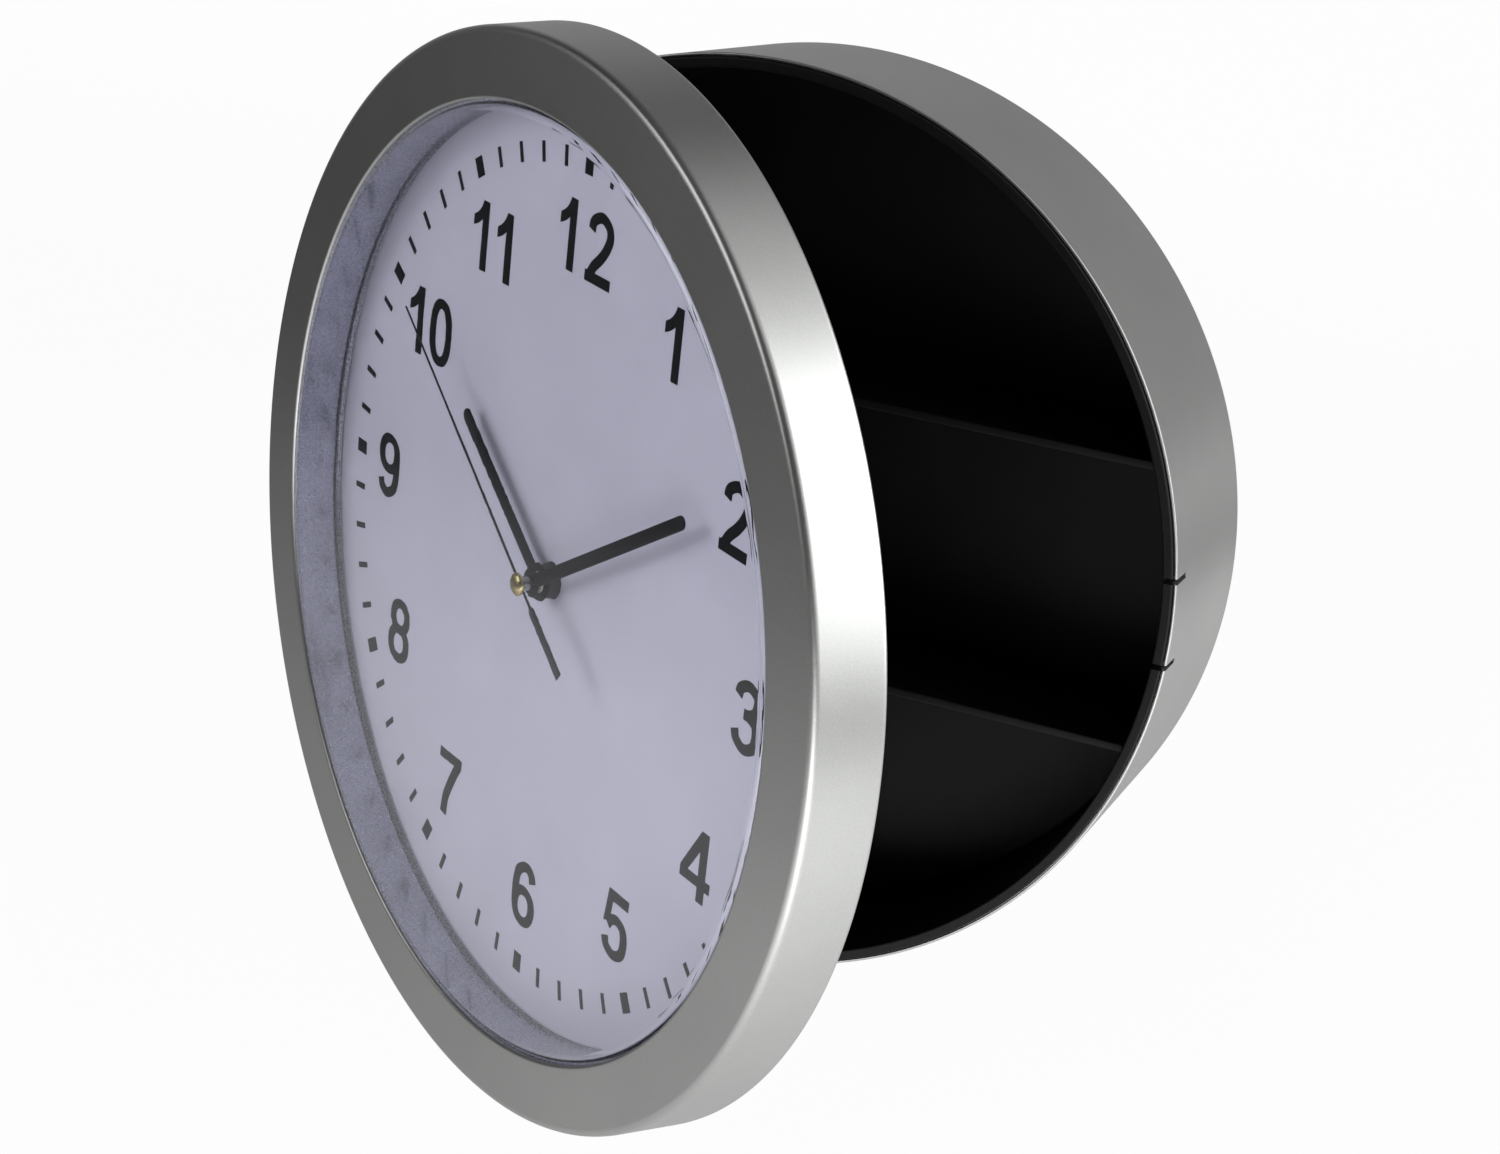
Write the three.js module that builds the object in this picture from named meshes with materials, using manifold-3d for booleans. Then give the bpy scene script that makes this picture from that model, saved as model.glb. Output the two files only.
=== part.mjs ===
// A round wall clock whose dial is the door of a shallow safe, shown with the door part open.
// Millimetres. x runs right and z runs up as one faces the dial, and y runs into the wall.
// The origin is the middle of the back face that lies on the wall.
// Pieces are drawn in closed coordinates: y = 0 is the plane where the door's rim ends and the case begins,
// the case lies at y > 0 and the door at y < 0. The door's group then turns about the hinge.
import * as THREE from "three";
import { mergeVertices } from "three/addons/utils/BufferGeometryUtils.js";
import Module from "manifold-3d";

const wasm = await Module();
wasm.setup();

// Clearances
const seat = 0.3; // between pieces that lie on each other
const slip = 0.2; // round a shaft that turns in a hole
const openAngle = 30.7; // degrees that the door stands open

// Case: a silver shell round a black tray
const caseDepth = 54.6;
const caseFrontRadius = 115;
const caseRearRadius = 111.4;
const caseWall = 1.6;
const caseBackWall = 2;
const caseRearRound = 1.5;
const caseFrontRound = 0.4;
const lipSeatWidth = 0.65; // silver edge left outside the tray's lip
const lipSeatDepth = 1.1;
const trayDepth = 46;
const trayWall = 1.6;
const trayBackWall = 1.6;
const trayLipStand = 0.6; // how far the black lip stands in front of the silver edge
const trayLipRound = 0.4;
const shelfHeights = { shelf_upper: 35.7, shelf_lower: -34.4 }; // middle of each shelf
const shelfThickness = 2;
const shelfSetback = 4;
const railSize = 2; // moulded rail under each end of a shelf
const railReach = 4;
const trayScrewOffset = 60; // of each screw from the middle, along x and along z
const keyholeHeight = 74;
const keyholeHeadRadius = 4.5;
const keyholeSlotWidth = 4.4;
const keyholeRise = 10;

// Snap catch at three o'clock
const tongueHalfWidth = 9.9;
const slitWidth = 1.4;
const slitLength = 7.2;
const ridgeHeight = 0.5;
const ridgeFront = 1.2;
const ridgeLength = 1.4;
const ridgeHalfWidth = 6.5;
const catchHalfWidth = 6;
const catchThickness = 1.6;
const catchReach = 5.5; // behind the plane of the rim
const barbLength = 1.6;
const barbHeight = 0.5;
const catchGap = 0.4; // between the barb and the ridge

// Door: a silver ring, a clear lens, the dial and a black back plate
const doorOverhang = 12; // of the door's rim past the case
const doorFrontDraft = 0.7;
const rimDepth = 17.85;
const rimWall = 1.8;
const rimFrontRound = 1.6;
const rimRearRound = 1.1;
const faceWidth = 17.1;
const faceRise = 0.85; // the ring's inner edge stands this far in front of its outer edge
const faceWall = 1.5;
const faceInnerRound = 0.8;
const ringInnerWall = 1.7;
const lensThickness = 1.4;
const lensSetback = 0.3;
const lensShoulder = 2.2;
const lensTaper = 1.5; // the lens wall closes in by this much towards the dial
const lensWall = 1.3;
const lensFlangeThickness = 1.2;
const lensFlangeReach = 2.6;
const dialDepth = 4.8; // the dial's face lies this far in front of the plane of the rim
const dialThickness = 0.6;
const dialTurn = 2; // degrees clockwise that the dial is set in the ring
const backPlateThickness = 1.8;
const stopRingWidth = 2;
const doorScrewAngles = { door_screw_1: 35, door_screw_2: 145, door_screw_3: 215, door_screw_4: 325 };
const doorBossRadius = 3.2;

// Hinge at nine o'clock, hidden inside the rim
const hingeInset = 6.05; // of its axis from the outside of the rim
const hingeDepth = 14.3; // of its axis in front of the plane of the rim
const hingePinRadius = 0.9;
const knuckleRadius = 1.9;
const armThickness = 1.8;
const armInner = 10.9; // height of an arm's inner face above the middle of the hinge
const armHeight = 4;
const earHeight = 3.5;
const armBendDepth = 2.6; // where the arms turn to run along the tray wall
const armBendOut = 1.6; // and how far outside their straight run
const armRunGap = 2; // from the tray's lip to the outside of the arms
const bracketFront = 2.5;
const bracketLength = 13.5;
const bracketThickness = 2.9;
const bracketScrewHeight = 5;
const footMargin = 0.4; // of the foot above and below the arms

// Screws
const screwRadius = 1.3;
const screwHeadRadius = 2.8;
const screwHeadHeight = 1.6;
const trayScrewLength = 7;
const doorScrewLength = 9;
const bossWall = 1.7;

// Quartz movement
const movementSize = 56;
const movementFloor = 1.2;
const movementWall = 1.2;
const movementDepth = 13.6; // from the floor's inside to the end of the walls
const coverThickness = 1.2;
const bayDividerHeight = -10.4; // top of the wall over the battery bay
const neckRadius = 4;
const neckReach = 2.8; // of the neck in front of the dial
const clipThickness = 1.6;
const clipBarb = 0.8; // reach of a clip's hook over the movement
const clipHookLength = 1.4;
const clipBottom = 0;
const clipTop = 10;
const batteryRadius = 7.1;
const batteryLength = 49.2;
const batteryNubRadius = 2.7;
const batteryNubLength = 1.3;
const contactThickness = 0.3;

// Gear train: teeth and modules. Pinions drive the wheels that they are named for.
const rotorPinion = { teeth: 8, module: 0.2 };
const stepWheel = { teeth: 48, module: 0.2 };
const stepPinion = { teeth: 8, module: 0.25 };
const secondsWheel = { teeth: 40, module: 0.25 };
const secondsPinion = { teeth: 8, module: 0.25 };
const thirdWheel = { teeth: 60, module: 0.25 };
const thirdPinion = { teeth: 8, module: 17 / 72 }; // same distance as the pair before it
const centreWheel = { teeth: 64, module: 17 / 72 };
const minutePinion = { teeth: 12, module: 0.25 };
const workWheel = { teeth: 36, module: 0.25 };
const workPinion = { teeth: 10, module: 0.24 }; // same distance as the pair before it
const hourWheel = { teeth: 40, module: 0.24 };
const knobPinion = { teeth: 12, module: 0.25 };
const addendum = 0.8; // in modules
const dedendum = 1.2;
const toothRootShare = 0.31; // half of a tooth's width at its foot, as a share of the pitch
const toothTipShare = 0.13;
const stepDirection = 90; // degrees anticlockwise from three o'clock, seen from the front
const thirdDirection = 0;
const workDirection = 200;
const rotorDirection = 90;

// Layers of the movement, measured back from the inside of its floor
const layers = {
  hourWheel: [0.4, 1.2],
  workPinion: [0.4, 1.7],
  workWheel: [1.7, 2.4],
  minutePinion: [1.6, 2.6],
  knobPinion: [1.6, 2.6],
  centreWheel: [2.9, 3.5],
  thirdPinion: [2.7, 3.7],
  arborFlange: [3.7, 4],
  trainPlate: [4.4, 5.1],
  secondsPinion: [5.3, 6.4],
  thirdWheel: [5.6, 6.1],
  stator: [6.2, 7],
  magnet: [5.5, 7.5],
  secondsWheel: [6.9, 7.4],
  stepPinion: [6.7, 7.6],
  rotorPinion: [7.9, 8.8],
  stepWheel: [8.1, 8.6],
  bridge: [9.4, 10.2],
  board: [10.5, 11.3],
};
const arborRadius = 0.5;
const rotorArborRadius = 0.4;
const magnetRadius = 2.4;
const minuteTubeRadius = 1.55;
const minuteNeckRadius = 1.1;
const hourTubeRadius = 2.5;
const tubeWall = 0.65;
const postRadius = 1.2;
const postFootRadius = 1.9;
const postPlaces = [
  [17.5, 3],
  [13.5, -8],
  [-9.6, -8],
  [-8, 7.5],
];
const boardPostPlaces = [
  [-17.5, 18],
  [17.5, 18],
];
const statorRingWidth = 1.1;
const statorHalfWidth = 13.5;
const statorLegWidth = 3;
const statorBarHeight = 4;
const coilHeight = 22;
const coilRadius = 2.9;
const coilLength = 15.4;
const coilFlange = 0.8;
const coreHalfHeight = 0.8;
const bobbinBore = 1.3;
const bobbinWall = 0.5;
const boardHalfWidth = 20;
const boardBottom = 14.8;
const boardTop = 26.2;
const chipSize = 4;
const chipThickness = 0.9;
const chipMiddle = -4;
const chipRise = 4.2; // above the board's lower edge
const crystalRadius = 0.9;
const crystalLength = 6;
const crystalMiddle = 7;
const crystalRise = 9.2;
const knobRadius = 5;
const knobHeight = 3;
const knobShaftRadius = 0.9;

// Hands, from the axis. The clock shows nine minutes and fifty-one seconds past ten.
const shownHour = 10;
const shownMinute = 9;
const shownSecond = 51;
const handThickness = 0.4;
const hourHandLength = 49.6;
const hourHandWidth = 3.6;
const hourHandHub = 4.5;
const hourHandStand = 3.3; // of its back in front of the dial
const minuteHandLength = 71;
const minuteHandWidth = 3.3;
const minuteHandHub = 3.4;
const minuteHandStand = 5.2;
const secondHandLength = 80;
const secondHandWidth = 0.8;
const secondHandThickness = 0.3;
const secondHandHub = 1.9;
const secondHandStand = 8.2;
const secondTailLength = 25.5;
const secondTailWidth = 2.5;
const secondTailStart = 7.5;
const secondTubeWall = 1;
const capRadius = 2.75;
const capHeight = 1.5;
const capRound = 1.3;

const roundSegments = 64;
const smallSegments = 12;

// Radii and depths that follow from the driving dimensions
const doorRadius = caseFrontRadius + doorOverhang;
const faceInnerRadius = doorRadius - faceWidth;
const hingeX = -(doorRadius - hingeInset);
const hingeAxis = [hingeX, -hingeDepth];
const faceFront = -(rimDepth + faceRise);
const lensRadius = faceInnerRadius - seat;
const lensRearRadius = lensRadius - lensTaper;
const flangeRadius = lensRearRadius + lensFlangeReach;
const dialRadius = flangeRadius - seat;
const dialFront = -dialDepth;
const dialBack = dialFront + dialThickness;
const flangeBack = dialFront - seat;
const flangeFront = flangeBack - lensFlangeThickness;
const plateFront = dialBack + seat;
const plateBack = plateFront + backPlateThickness;
const rimInnerRadius = doorRadius - rimWall;
const plateRadius = rimInnerRadius - seat;
const movementFront = plateBack + seat;
const floorInside = movementFront + movementFloor;
const wallEnd = floorInside + movementDepth;
const neckFront = dialFront - neckReach;
const lipSeatRadius = caseFrontRadius - lipSeatWidth;
const trayLipRadius = lipSeatRadius - seat;
const lipFront = -trayLipStand;
const lipBack = lipSeatDepth - seat;
const stopRingFront = lipFront - seat;
const radians = THREE.MathUtils.degToRad;

function caseRadiusAt(y) {
  return caseFrontRadius + ((caseRearRadius - caseFrontRadius) * y) / caseDepth;
}
function trayRadiusAt(y) {
  return caseRadiusAt(y) - caseWall - seat;
}
function trayInsideAt(y) {
  return trayRadiusAt(y) - trayWall;
}
function layer(name) {
  return layers[name].map((offset) => floorInside + offset);
}
function pitchDistance(a, b) {
  return ((a.teeth + b.teeth) * a.module) / 2;
}
function polar(distance, degrees) {
  return [distance * Math.cos(radians(degrees)), distance * Math.sin(radians(degrees))];
}

// Geometry helpers

// A closed mesh as a solid that can be joined and cut
function toSolid(geometry) {
  const bare = geometry.clone();
  bare.deleteAttribute("normal");
  bare.deleteAttribute("uv");
  const merged = mergeVertices(bare, 1e-4);
  return new wasm.Manifold(
    new wasm.Mesh({
      numProp: 3,
      vertProperties: merged.getAttribute("position").array,
      triVerts: new Uint32Array(merged.index.array),
    }),
  );
}

function toGeometry(solid) {
  const mesh = solid.getMesh();
  const geometry = new THREE.BufferGeometry();
  geometry.setAttribute("position", new THREE.BufferAttribute(mesh.vertProperties, 3));
  geometry.setIndex(new THREE.BufferAttribute(mesh.triVerts, 1));
  geometry.computeVertexNormals();
  return geometry;
}

function join(...parts) {
  return toGeometry(parts.map(toSolid).reduce((sum, part) => sum.add(part)));
}

function cut(base, ...tools) {
  return toGeometry(tools.map(toSolid).reduce((rest, tool) => rest.subtract(tool), toSolid(base)));
}

function common(a, b) {
  return toGeometry(toSolid(a).intersect(toSolid(b)));
}

// A body turned about the y axis from a closed outline of [radius, y] points
function turned(outline, segments = roundSegments) {
  const area = outline.reduce((sum, [r, y], i) => {
    const [nextR, nextY] = outline[(i + 1) % outline.length];
    return sum + r * nextY - nextR * y;
  }, 0);
  const ordered = area > 0 ? outline : [...outline].reverse();
  const points = ordered.map(([r, y]) => new THREE.Vector2(r, y));
  if (ordered[0][0] > 0 || ordered[ordered.length - 1][0] > 0) points.push(points[0].clone());
  return new THREE.LatheGeometry(points, segments);
}

// Points of a quarter round that joins two straight edges, about a centre, between two angles in degrees
function arcPoints(centreR, centreY, radius, from, to, steps = 2) {
  return Array.from({ length: steps + 1 }, (_, i) => {
    const angle = radians(from + ((to - from) * i) / steps);
    return [centreR + radius * Math.cos(angle), centreY + radius * Math.sin(angle)];
  });
}

// A flat piece drawn in x and z, from y = front to y = back
function plate(shape, front, back, curveSegments = 8) {
  const depth = back - front;
  return new THREE.ExtrudeGeometry(shape, { depth, bevelEnabled: false, curveSegments })
    .rotateX(Math.PI / 2)
    .translate(0, back, 0);
}

// A flat piece drawn in x and y, from z = low to z = high
function slab(shape, low, high, curveSegments = 8) {
  const depth = high - low;
  return new THREE.ExtrudeGeometry(shape, { depth, bevelEnabled: false, curveSegments }).translate(0, 0, low);
}

function rod(radius, front, back, [x, z] = [0, 0], segments = smallSegments) {
  return new THREE.CylinderGeometry(radius, radius, back - front, segments).translate(x, (front + back) / 2, z);
}

function block([x0, x1], [y0, y1], [z0, z1]) {
  return new THREE.BoxGeometry(x1 - x0, y1 - y0, z1 - z0).translate((x0 + x1) / 2, (y0 + y1) / 2, (z0 + z1) / 2);
}

function circlePoints(radius, [x, z], segments) {
  return Array.from({ length: segments }, (_, i) => {
    const angle = (2 * Math.PI * i) / segments;
    return new THREE.Vector2(x + radius * Math.cos(angle), z + radius * Math.sin(angle));
  });
}

function circleShape(radius, centre = [0, 0], segments = smallSegments) {
  return new THREE.Shape(circlePoints(radius, centre, segments));
}

function circleHole(radius, centre = [0, 0], segments = smallSegments) {
  return new THREE.Path(circlePoints(radius, centre, segments));
}

function polygonShape(points) {
  return new THREE.Shape(points.map(([x, y]) => new THREE.Vector2(x, y)));
}

// Part of a ring, drawn in x and z about the axis, centred on an angle measured clockwise from twelve
function sectorShape(inner, outer, clockAngle, halfAngle) {
  const middle = Math.PI / 2 - radians(clockAngle);
  const half = radians(halfAngle);
  const shape = new THREE.Shape();
  shape.absarc(0, 0, outer, middle - half, middle + half);
  shape.absarc(0, 0, inner, middle + half, middle - half, true);
  return shape;
}

// A pan head screw along y. Its head is at the back, and its tip points forward.
function screwAlongY(headBack, length) {
  const headFront = headBack - screwHeadHeight;
  return turned(
    [
      [0, headFront - length],
      [screwRadius, headFront - length],
      [screwRadius, headFront],
      [screwHeadRadius, headFront],
      [screwHeadRadius, headBack - 0.6],
      [screwHeadRadius - 0.6, headBack],
      [0.9, headBack],
      [0, headBack - 0.9],
    ],
    12,
  );
}

// Spur teeth with straight flanks, drawn about the origin. phase is the angle of the first tooth.
function gearShape({ teeth, module }, phase) {
  const pitchRadius = (teeth * module) / 2;
  const tip = pitchRadius + addendum * module;
  const root = pitchRadius - dedendum * module;
  const pitch = (2 * Math.PI) / teeth;
  const flank = [
    [root, -toothRootShare],
    [tip, -toothTipShare],
    [tip, toothTipShare],
    [root, toothRootShare],
  ];
  const points = [];
  for (let i = 0; i < teeth; i += 1) {
    for (const [radius, share] of flank) {
      const angle = phase + (i + share) * pitch;
      points.push([radius * Math.cos(angle), radius * Math.sin(angle)]);
    }
  }
  return polygonShape(points);
}

// The first tooth's angle on a gear that meshes with a driver, from the driver's phase and the direction to the gear
function meshPhase(driver, driverPhase, gear, degrees) {
  const direction = radians(degrees);
  const driverShare = ((driverPhase - direction) * driver.teeth) / (2 * Math.PI);
  return direction + Math.PI + ((2 * Math.PI) / gear.teeth) * (0.5 - driverShare);
}

function gear(size, phase, [front, back]) {
  return plate(gearShape(size, phase), front, back);
}

// Materials
function finish(color, roughness, metalness, opacity = 1) {
  return new THREE.MeshStandardMaterial({ color, roughness, metalness, opacity, transparent: opacity < 1 });
}
const silverPaint = () => finish(0xa6a7a5, 0.38, 0.6);
const blackPlastic = () => finish(0x0d0d0e, 0.5, 0);
const movementPlastic = () => finish(0x18181a, 0.55, 0);
const clearPlastic = () => finish(0xf2f3f8, 0.05, 0, 0.25);
const dialCard = () => finish(0xd9d9e8, 0.6, 0);
const blackHand = () => finish(0x202224, 0.45, 0.1);
const brass = () => finish(0xb89b4c, 0.3, 0.9);
const steel = () => finish(0x9b9da0, 0.3, 0.9);
const whiteGear = () => finish(0xe9e8e2, 0.5, 0);
const copper = () => finish(0xa85a2c, 0.35, 0.8);
const greenBoard = () => finish(0x1d5a38, 0.5, 0);
const batteryWrap = () => finish(0x2b3f77, 0.4, 0.1);
const magnetGrey = () => finish(0x3c3d40, 0.5, 0.5);

const clock = new THREE.Group();
const caseGroup = new THREE.Group();
caseGroup.position.y = -caseDepth;
clock.add(caseGroup);
const doorHinge = new THREE.Group();
doorHinge.position.set(hingeX, -hingeDepth, 0);
doorHinge.rotation.z = -radians(openAngle);
caseGroup.add(doorHinge);
const doorGroup = new THREE.Group();
doorGroup.position.set(-hingeX, hingeDepth, 0);
doorHinge.add(doorGroup);

function add(group, name, geometry, material, place = [0, 0, 0]) {
  const mesh = new THREE.Mesh(geometry, material);
  mesh.name = name;
  mesh.position.set(...place);
  group.add(mesh);
  return mesh;
}

// Case shell: side wall, back wall, screw bosses, wall keyhole and the slits of the snap catch
const trayScrewPlaces = [
  [trayScrewOffset, trayScrewOffset],
  [trayScrewOffset, -trayScrewOffset],
  [-trayScrewOffset, -trayScrewOffset],
  [-trayScrewOffset, trayScrewOffset],
];
const counterboreRadius = screwHeadRadius + seat;
const counterboreFront = caseDepth - screwHeadHeight - 2 * seat;
const shellBossRadius = counterboreRadius + bossWall;
const shellBossFront = counterboreFront - bossWall;

function slit(side) {
  return block(
    [trayInsideAt(slitLength) - ridgeHeight - 1, caseFrontRadius + 1],
    [-trayLipStand - 1, slitLength],
    [side * (tongueHalfWidth + slitWidth / 2) - slitWidth / 2, side * (tongueHalfWidth + slitWidth / 2) + slitWidth / 2],
  );
}

function keyhole() {
  const slot = new THREE.Shape();
  const half = keyholeSlotWidth / 2;
  slot.moveTo(half, keyholeHeight);
  slot.lineTo(half, keyholeHeight + keyholeRise - half);
  slot.absarc(0, keyholeHeight + keyholeRise - half, half, 0, Math.PI);
  slot.lineTo(-half, keyholeHeight);
  return join(
    plate(circleShape(keyholeHeadRadius, [0, keyholeHeight]), caseDepth - caseBackWall - 1, caseDepth + 1),
    plate(slot, caseDepth - caseBackWall - 1, caseDepth + 1),
  );
}

function caseShell() {
  const backInside = caseDepth - caseBackWall;
  const shell = turned([
    [0, caseDepth],
    ...arcPoints(caseRearRadius - caseRearRound, caseDepth - caseRearRound, caseRearRound, 90, 0),
    [caseFrontRadius, caseFrontRound],
    [caseFrontRadius - caseFrontRound, 0],
    [lipSeatRadius, 0],
    [lipSeatRadius, lipSeatDepth],
    [caseRadiusAt(lipSeatDepth) - caseWall, lipSeatDepth],
    [caseRadiusAt(backInside) - caseWall, backInside],
    [0, backInside],
  ]);
  const bosses = trayScrewPlaces.map((place) => rod(shellBossRadius, shellBossFront, backInside + 1, place));
  const bores = trayScrewPlaces.map((place) => rod(screwRadius + seat, shellBossFront - 1, caseDepth, place));
  const recesses = trayScrewPlaces.map((place) => rod(counterboreRadius, counterboreFront, caseDepth + 1, place));
  return cut(join(shell, ...bosses), ...bores, ...recesses, keyhole(), slit(1), slit(-1));
}

// Tray: the black cup with its lip, shelf rails, screw bosses and the catch's ridge
function trayBody(shrink) {
  return turned([
    [0, trayDepth],
    [trayRadiusAt(trayDepth) - shrink, trayDepth],
    [trayRadiusAt(lipBack) - shrink, lipBack],
    [0, lipBack],
  ]);
}

function shelfRails() {
  return Object.values(shelfHeights).flatMap((height) =>
    [-1, 1].map((side) => {
      const under = height - shelfThickness / 2 - seat;
      const wallX = Math.sqrt(trayInsideAt(trayDepth) ** 2 - under ** 2) - railReach;
      const x = [side * wallX, side * caseFrontRadius].sort((a, b) => a - b);
      return block(x, [shelfSetback, trayDepth - trayBackWall / 2], [under - railSize, under]);
    }),
  );
}

function innerTray() {
  const backInside = trayDepth - trayBackWall;
  const lipInside = trayInsideAt(0);
  const cup = turned([
    [0, trayDepth],
    [trayRadiusAt(trayDepth), trayDepth],
    [trayRadiusAt(lipBack), lipBack],
    [trayLipRadius, lipBack],
    [trayLipRadius, lipFront + trayLipRound],
    [trayLipRadius - trayLipRound, lipFront],
    [lipInside, lipFront],
    [trayInsideAt(backInside), backInside],
    [0, backInside],
  ]);
  const rails = shelfRails().map((rail) => common(rail, trayBody(trayWall / 2)));
  const bosses = trayScrewPlaces.map((place) =>
    rod(screwRadius + seat + bossWall, trayDepth - trayBackWall / 2, shellBossFront - seat, place),
  );
  const ridge = plate(
    sectorShape(trayInsideAt(ridgeFront) - ridgeHeight, trayInsideAt(ridgeFront) + trayWall / 2, 90, ridgeHalfAngle()),
    ridgeFront,
    ridgeFront + ridgeLength,
    6,
  );
  const pilots = trayScrewPlaces.map((place) => rod(screwRadius + seat, trayScrewTip() - seat, caseDepth, place));
  const bracketBores = [-1, 1].map((side) => bracketBore(side));
  return cut(join(cup, ...rails, ...bosses, ridge), ...pilots, ...bracketBores, slit(1), slit(-1));
}

function ridgeHalfAngle() {
  return THREE.MathUtils.radToDeg(Math.asin(ridgeHalfWidth / trayInsideAt(0)));
}

function trayScrewTip() {
  return caseDepth - seat - screwHeadHeight - trayScrewLength;
}

// A shelf spans the tray between its walls and ends short of the tray's back
function shelf(height) {
  const far = trayDepth - trayBackWall - seat;
  const edge = Math.abs(height) + shelfThickness / 2;
  const half = (y) => Math.sqrt(trayInsideAt(y) ** 2 - edge ** 2) - seat;
  return slab(
    polygonShape([
      [-half(shelfSetback), shelfSetback],
      [half(shelfSetback), shelfSetback],
      [half(far), far],
      [-half(far), far],
    ]),
    height - shelfThickness / 2,
    height + shelfThickness / 2,
  );
}

// Hinge bracket: two arms that reach from the tray wall round into the rim, on one curved foot
const bracketMiddle = bracketFront + bracketLength / 2;
const bracketEnd = bracketFront + bracketLength;
const footHalfHeight = armInner + armHeight + footMargin;

function armOutsideAt(y) {
  return -(trayInsideAt(y) - armRunGap);
}

function footOuterAt(y) {
  return trayInsideAt(y) - seat;
}

function footInnerAt(y) {
  return footOuterAt(y) - bracketThickness;
}

// How far from the middle of the clock a bracket screw's head rests, and where its tip ends in the tray wall
function bracketHeadSeat() {
  const nearest = Math.min(footInnerAt(bracketMiddle - screwHeadRadius), footInnerAt(bracketMiddle + screwHeadRadius));
  return Math.sqrt(nearest ** 2 - (bracketScrewHeight + screwHeadRadius) ** 2) - seat;
}

function bracketTip() {
  return Math.sqrt(trayRadiusAt(bracketMiddle) ** 2 - bracketScrewHeight ** 2) - slip;
}

function armShape() {
  const bend = [armOutsideAt(0) + armThickness / 2 - armBendOut, -armBendDepth];
  const along = Math.atan2(bend[1] + hingeDepth, bend[0] - hingeX);
  const side = [(-Math.sin(along) * armThickness) / 2, (Math.cos(along) * armThickness) / 2];
  return polygonShape([
    [hingeX + side[0], -hingeDepth + side[1]],
    [hingeX - side[0], -hingeDepth - side[1]],
    [bend[0] - side[0], bend[1] - side[1]],
    [armOutsideAt(0) + armThickness, 0],
    [armOutsideAt(bracketMiddle) + armThickness, bracketMiddle],
    [armOutsideAt(bracketMiddle), bracketMiddle],
    [armOutsideAt(0), 0],
    [bend[0] + side[0], bend[1] + side[1]],
  ]);
}

function bracketBore(side) {
  return new THREE.CylinderGeometry(screwRadius + seat, screwRadius + seat, 12, smallSegments)
    .rotateZ(Math.PI / 2)
    .translate(-footOuterAt(bracketMiddle), bracketMiddle, side * bracketScrewHeight);
}

function hingeBracket() {
  const arms = [-1, 1].flatMap((side) => {
    const [low, high] = [side * armInner, side * (armInner + armHeight)].sort((a, b) => a - b);
    return [
      slab(armShape(), low, high),
      slab(circleShape(knuckleRadius, hingeAxis), low, high),
    ];
  });
  const ring = turned([
    [footInnerAt(bracketFront), bracketFront],
    [footOuterAt(bracketFront), bracketFront],
    [footOuterAt(bracketEnd), bracketEnd],
    [footInnerAt(bracketEnd), bracketEnd],
  ]);
  const foot = common(ring, block([-doorRadius, 0], [0, caseDepth], [-footHalfHeight, footHalfHeight]));
  const pinBore = slab(circleShape(hingePinRadius + slip, hingeAxis), -movementSize, movementSize);
  return cut(join(foot, ...arms), pinBore, bracketBore(-1), bracketBore(1));
}

function bracketScrew() {
  return screwAlongY(screwHeadHeight, bracketTip() - bracketHeadSeat()).rotateZ(-Math.PI / 2);
}

// Silver ring: rim, face and inner wall, open at the back, with bosses for the back plate's screws
function doorBossPlace(clockAngle) {
  const middle = (rimInnerRadius + faceInnerRadius + ringInnerWall) / 2;
  return polar(middle, 90 - clockAngle);
}

function bezel() {
  const frontRadius = doorRadius - doorFrontDraft;
  const innerEnd = flangeFront - seat;
  const wallRadius = faceInnerRadius + ringInnerWall;
  const ring = turned([
    [rimInnerRadius, 0],
    ...arcPoints(doorRadius - rimRearRound, -rimRearRound, rimRearRound, 90, 0),
    ...arcPoints(frontRadius - rimFrontRound, -rimDepth + rimFrontRound, rimFrontRound, 0, -90),
    ...arcPoints(faceInnerRadius + faceInnerRound, faceFront + faceInnerRound, faceInnerRound, -90, -180, 1),
    [faceInnerRadius, innerEnd],
    [wallRadius, innerEnd],
    [wallRadius, faceFront + faceWall],
    [rimInnerRadius - 0.6, -rimDepth + faceWall],
    [rimInnerRadius, -rimDepth + faceWall + 0.6],
  ]);
  const places = Object.values(doorScrewAngles).map(doorBossPlace);
  const bosses = places.map((place) => rod(doorBossRadius, -rimDepth + faceWall / 2, plateFront - seat, place));
  const pilots = places.map((place) => rod(screwRadius + seat, doorScrewTip() - seat, 1, place));
  return cut(join(ring, ...bosses), ...pilots);
}

function doorScrewTip() {
  return plateBack + seat - doorScrewLength;
}

// Lens: a clear cup with a rounded front edge, a wall that closes in towards the dial, and a flange
function lens() {
  const front = faceFront + lensSetback;
  const inside = lensRadius - lensWall;
  return turned([
    [0, front],
    ...arcPoints(lensRadius - lensShoulder, front + lensShoulder, lensShoulder, -90, 0),
    [lensRearRadius + lensWall, flangeFront],
    [flangeRadius, flangeFront],
    [flangeRadius, flangeBack],
    [lensRearRadius, flangeBack],
    ...arcPoints(inside - lensShoulder / 2, front + lensThickness + lensShoulder / 2, lensShoulder / 2, 0, -90, 1),
    [0, front + lensThickness],
  ]);
}

function dial() {
  const shape = circleShape(dialRadius, [0, 0], roundSegments);
  shape.holes.push(circleHole(neckRadius + seat));
  return plate(shape, dialFront, dialBack);
}

// Back plate: closes the ring, carries the hinge ears, the stop ring that meets the tray's lip, and the catch
const armSlotInside = armOutsideAt(0) + armThickness + 1;
const catchOuter = trayInsideAt(ridgeFront) - ridgeHeight - catchGap;

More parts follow.
